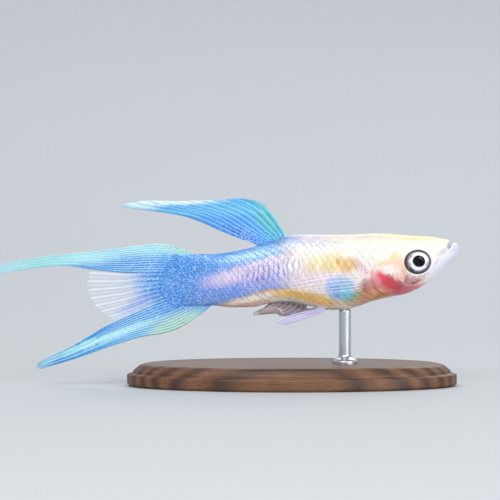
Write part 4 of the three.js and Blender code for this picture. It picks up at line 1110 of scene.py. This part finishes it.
def make_stand(wood, steel):
    """The oval walnut base, with a turned step round its rim, and the steel rod in its collar."""
    _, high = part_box("stand_base")
    long, w, h = high.x / MM, high.y / MM, high.z / MM
    foot = [(0, 0), (w - 0.25, 0), (w, 0.25)]
    step = [(w, h * 0.52), (w - 0.35, h * 0.60), (w - 0.35, h * 0.68)]
    crown = [(w - 0.75, h * 0.93), (w - 1.1, h), (0, h)]
    points, faces = lathe_mesh(rounded([*foot, *step, *crown], 0.14), 144)
    points[:, 0] *= long / w
    base = mesh_object("stand_base_turned", points, faces, wood)
    orient_outward(base)
    finish_piece(base, "stand_wood", "stand_base")
    low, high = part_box("stand_rod")
    x, r, top = (low.x + high.x) / 2 / MM, ROD_RADIUS, high.z / MM + ROD_HIDDEN
    wide = (high.x - low.x) / 2 / MM
    collar = [(0, h - ROD_SUNK), (wide, h - ROD_SUNK), (wide, h + 0.3), (wide - 0.25, h + 0.5)]
    neck = [(r + 0.1, h + 0.72), (r, h + 0.95)]
    tip = [(r, top - 0.3), (r - 0.15, top), (0, top)]
    points, faces = lathe_mesh(rounded([*collar, *neck, *tip], 0.1), 64)
    rod = mesh_object("stand_rod_turned", points + np.array([x, 0, 0]), faces, steel)
    orient_outward(rod)
    finish_piece(rod, "stand_steel", "stand_rod")


FLOOR_FLAT, FLOOR_CURVE, FLOOR_SIDES = 280, 320, 96
# Softboxes as place and size in metres, watts and colour: a key from high on the left of the camera, a wide
# fill from the right, and a rim from behind.
SOFTBOXES = [((-0.08, -0.30, 0.30), 0.26, 0.85, "#fffaf2"), ((0.30, -0.30, 0.04), 0.3, 1.5, "#f4f7ff"),
             ((0.05, 0.34, 0.30), 0.30, 0.5, "#ffffff")]
LIGHT_AIM = Vector((0, 0, 0.012))


def make_camera():
    """A long lens from the photo's side, a little above, with the fish in the photo's place."""
    data = bpy.data.cameras.new("camera")
    data.lens, data.sensor_width, data.clip_start, data.clip_end = CAMERA_LENS, CAMERA_SENSOR, 0.005, 20
    camera = bpy.data.objects.new("camera", data)
    bpy.context.scene.collection.objects.link(camera)
    distance = CAMERA_WIDTH * CAMERA_LENS / CAMERA_SENSOR
    camera.location = CAMERA_AIM + distance * Vector((0, -math.cos(CAMERA_RISE), math.sin(CAMERA_RISE)))
    camera.rotation_euler = (math.pi / 2 - CAMERA_RISE, 0, 0)
    bpy.context.scene.camera = camera


def make_floor(paper):
    """A pale paper floor that curves up all round, out of every view's way."""
    bend = np.linspace(0.1, math.pi / 2, 14)
    profile = [(100, 0), (FLOOR_FLAT, 0)]
    profile += [(FLOOR_FLAT + FLOOR_CURVE * math.sin(t), FLOOR_CURVE * (1 - math.cos(t))) for t in bend]
    rings = np.concatenate(turned_rings(profile, FLOOR_SIDES))
    here = np.arange(FLOOR_SIDES)
    centre = np.stack([np.full(FLOOR_SIDES, len(rings)), here, (here + 1) % FLOOR_SIDES], -1)
    faces = [*grid_faces(len(profile), FLOOR_SIDES, closed=True)[:, ::-1], *centre]
    floor = mesh_object("paper_floor", np.vstack([rings, [(0, 0, 0)]]), faces, paper)


def make_lights():
    """Three softboxes in a pale room."""
    for place, size, power, tint in SOFTBOXES:
        light = bpy.data.lights.new("softbox", "AREA")
        light.shape, light.size, light.energy, light.color = "SQUARE", size, power, linear(tint)[:3]
        lamp = bpy.data.objects.new("softbox", light)
        lamp.location = place
        lamp.rotation_euler = (LIGHT_AIM - Vector(place)).to_track_quat("-Z", "Y").to_euler()
        bpy.context.scene.collection.objects.link(lamp)
    world = bpy.data.worlds.new("studio")
    world.use_nodes = True
    background = world.node_tree.nodes["Background"].inputs
    background["Color"].default_value, background["Strength"].default_value = linear("#eef1f5"), 0.75
    bpy.context.scene.world = world
    bpy.context.scene.view_settings.view_transform = "Standard"


def main():
    wet_skin = fish_skin()
    make_skin(wet_skin)
    make_scales(wet_skin)
    make_fins()
    ball, cornea = eyeball_material(), cornea_material()
    for side, name in SIDES:
        make_eye(side, name, ball, cornea)
    make_stand(walnut(), turned_steel())
    make_floor(matt_paper())
    make_camera()
    make_lights()


main()
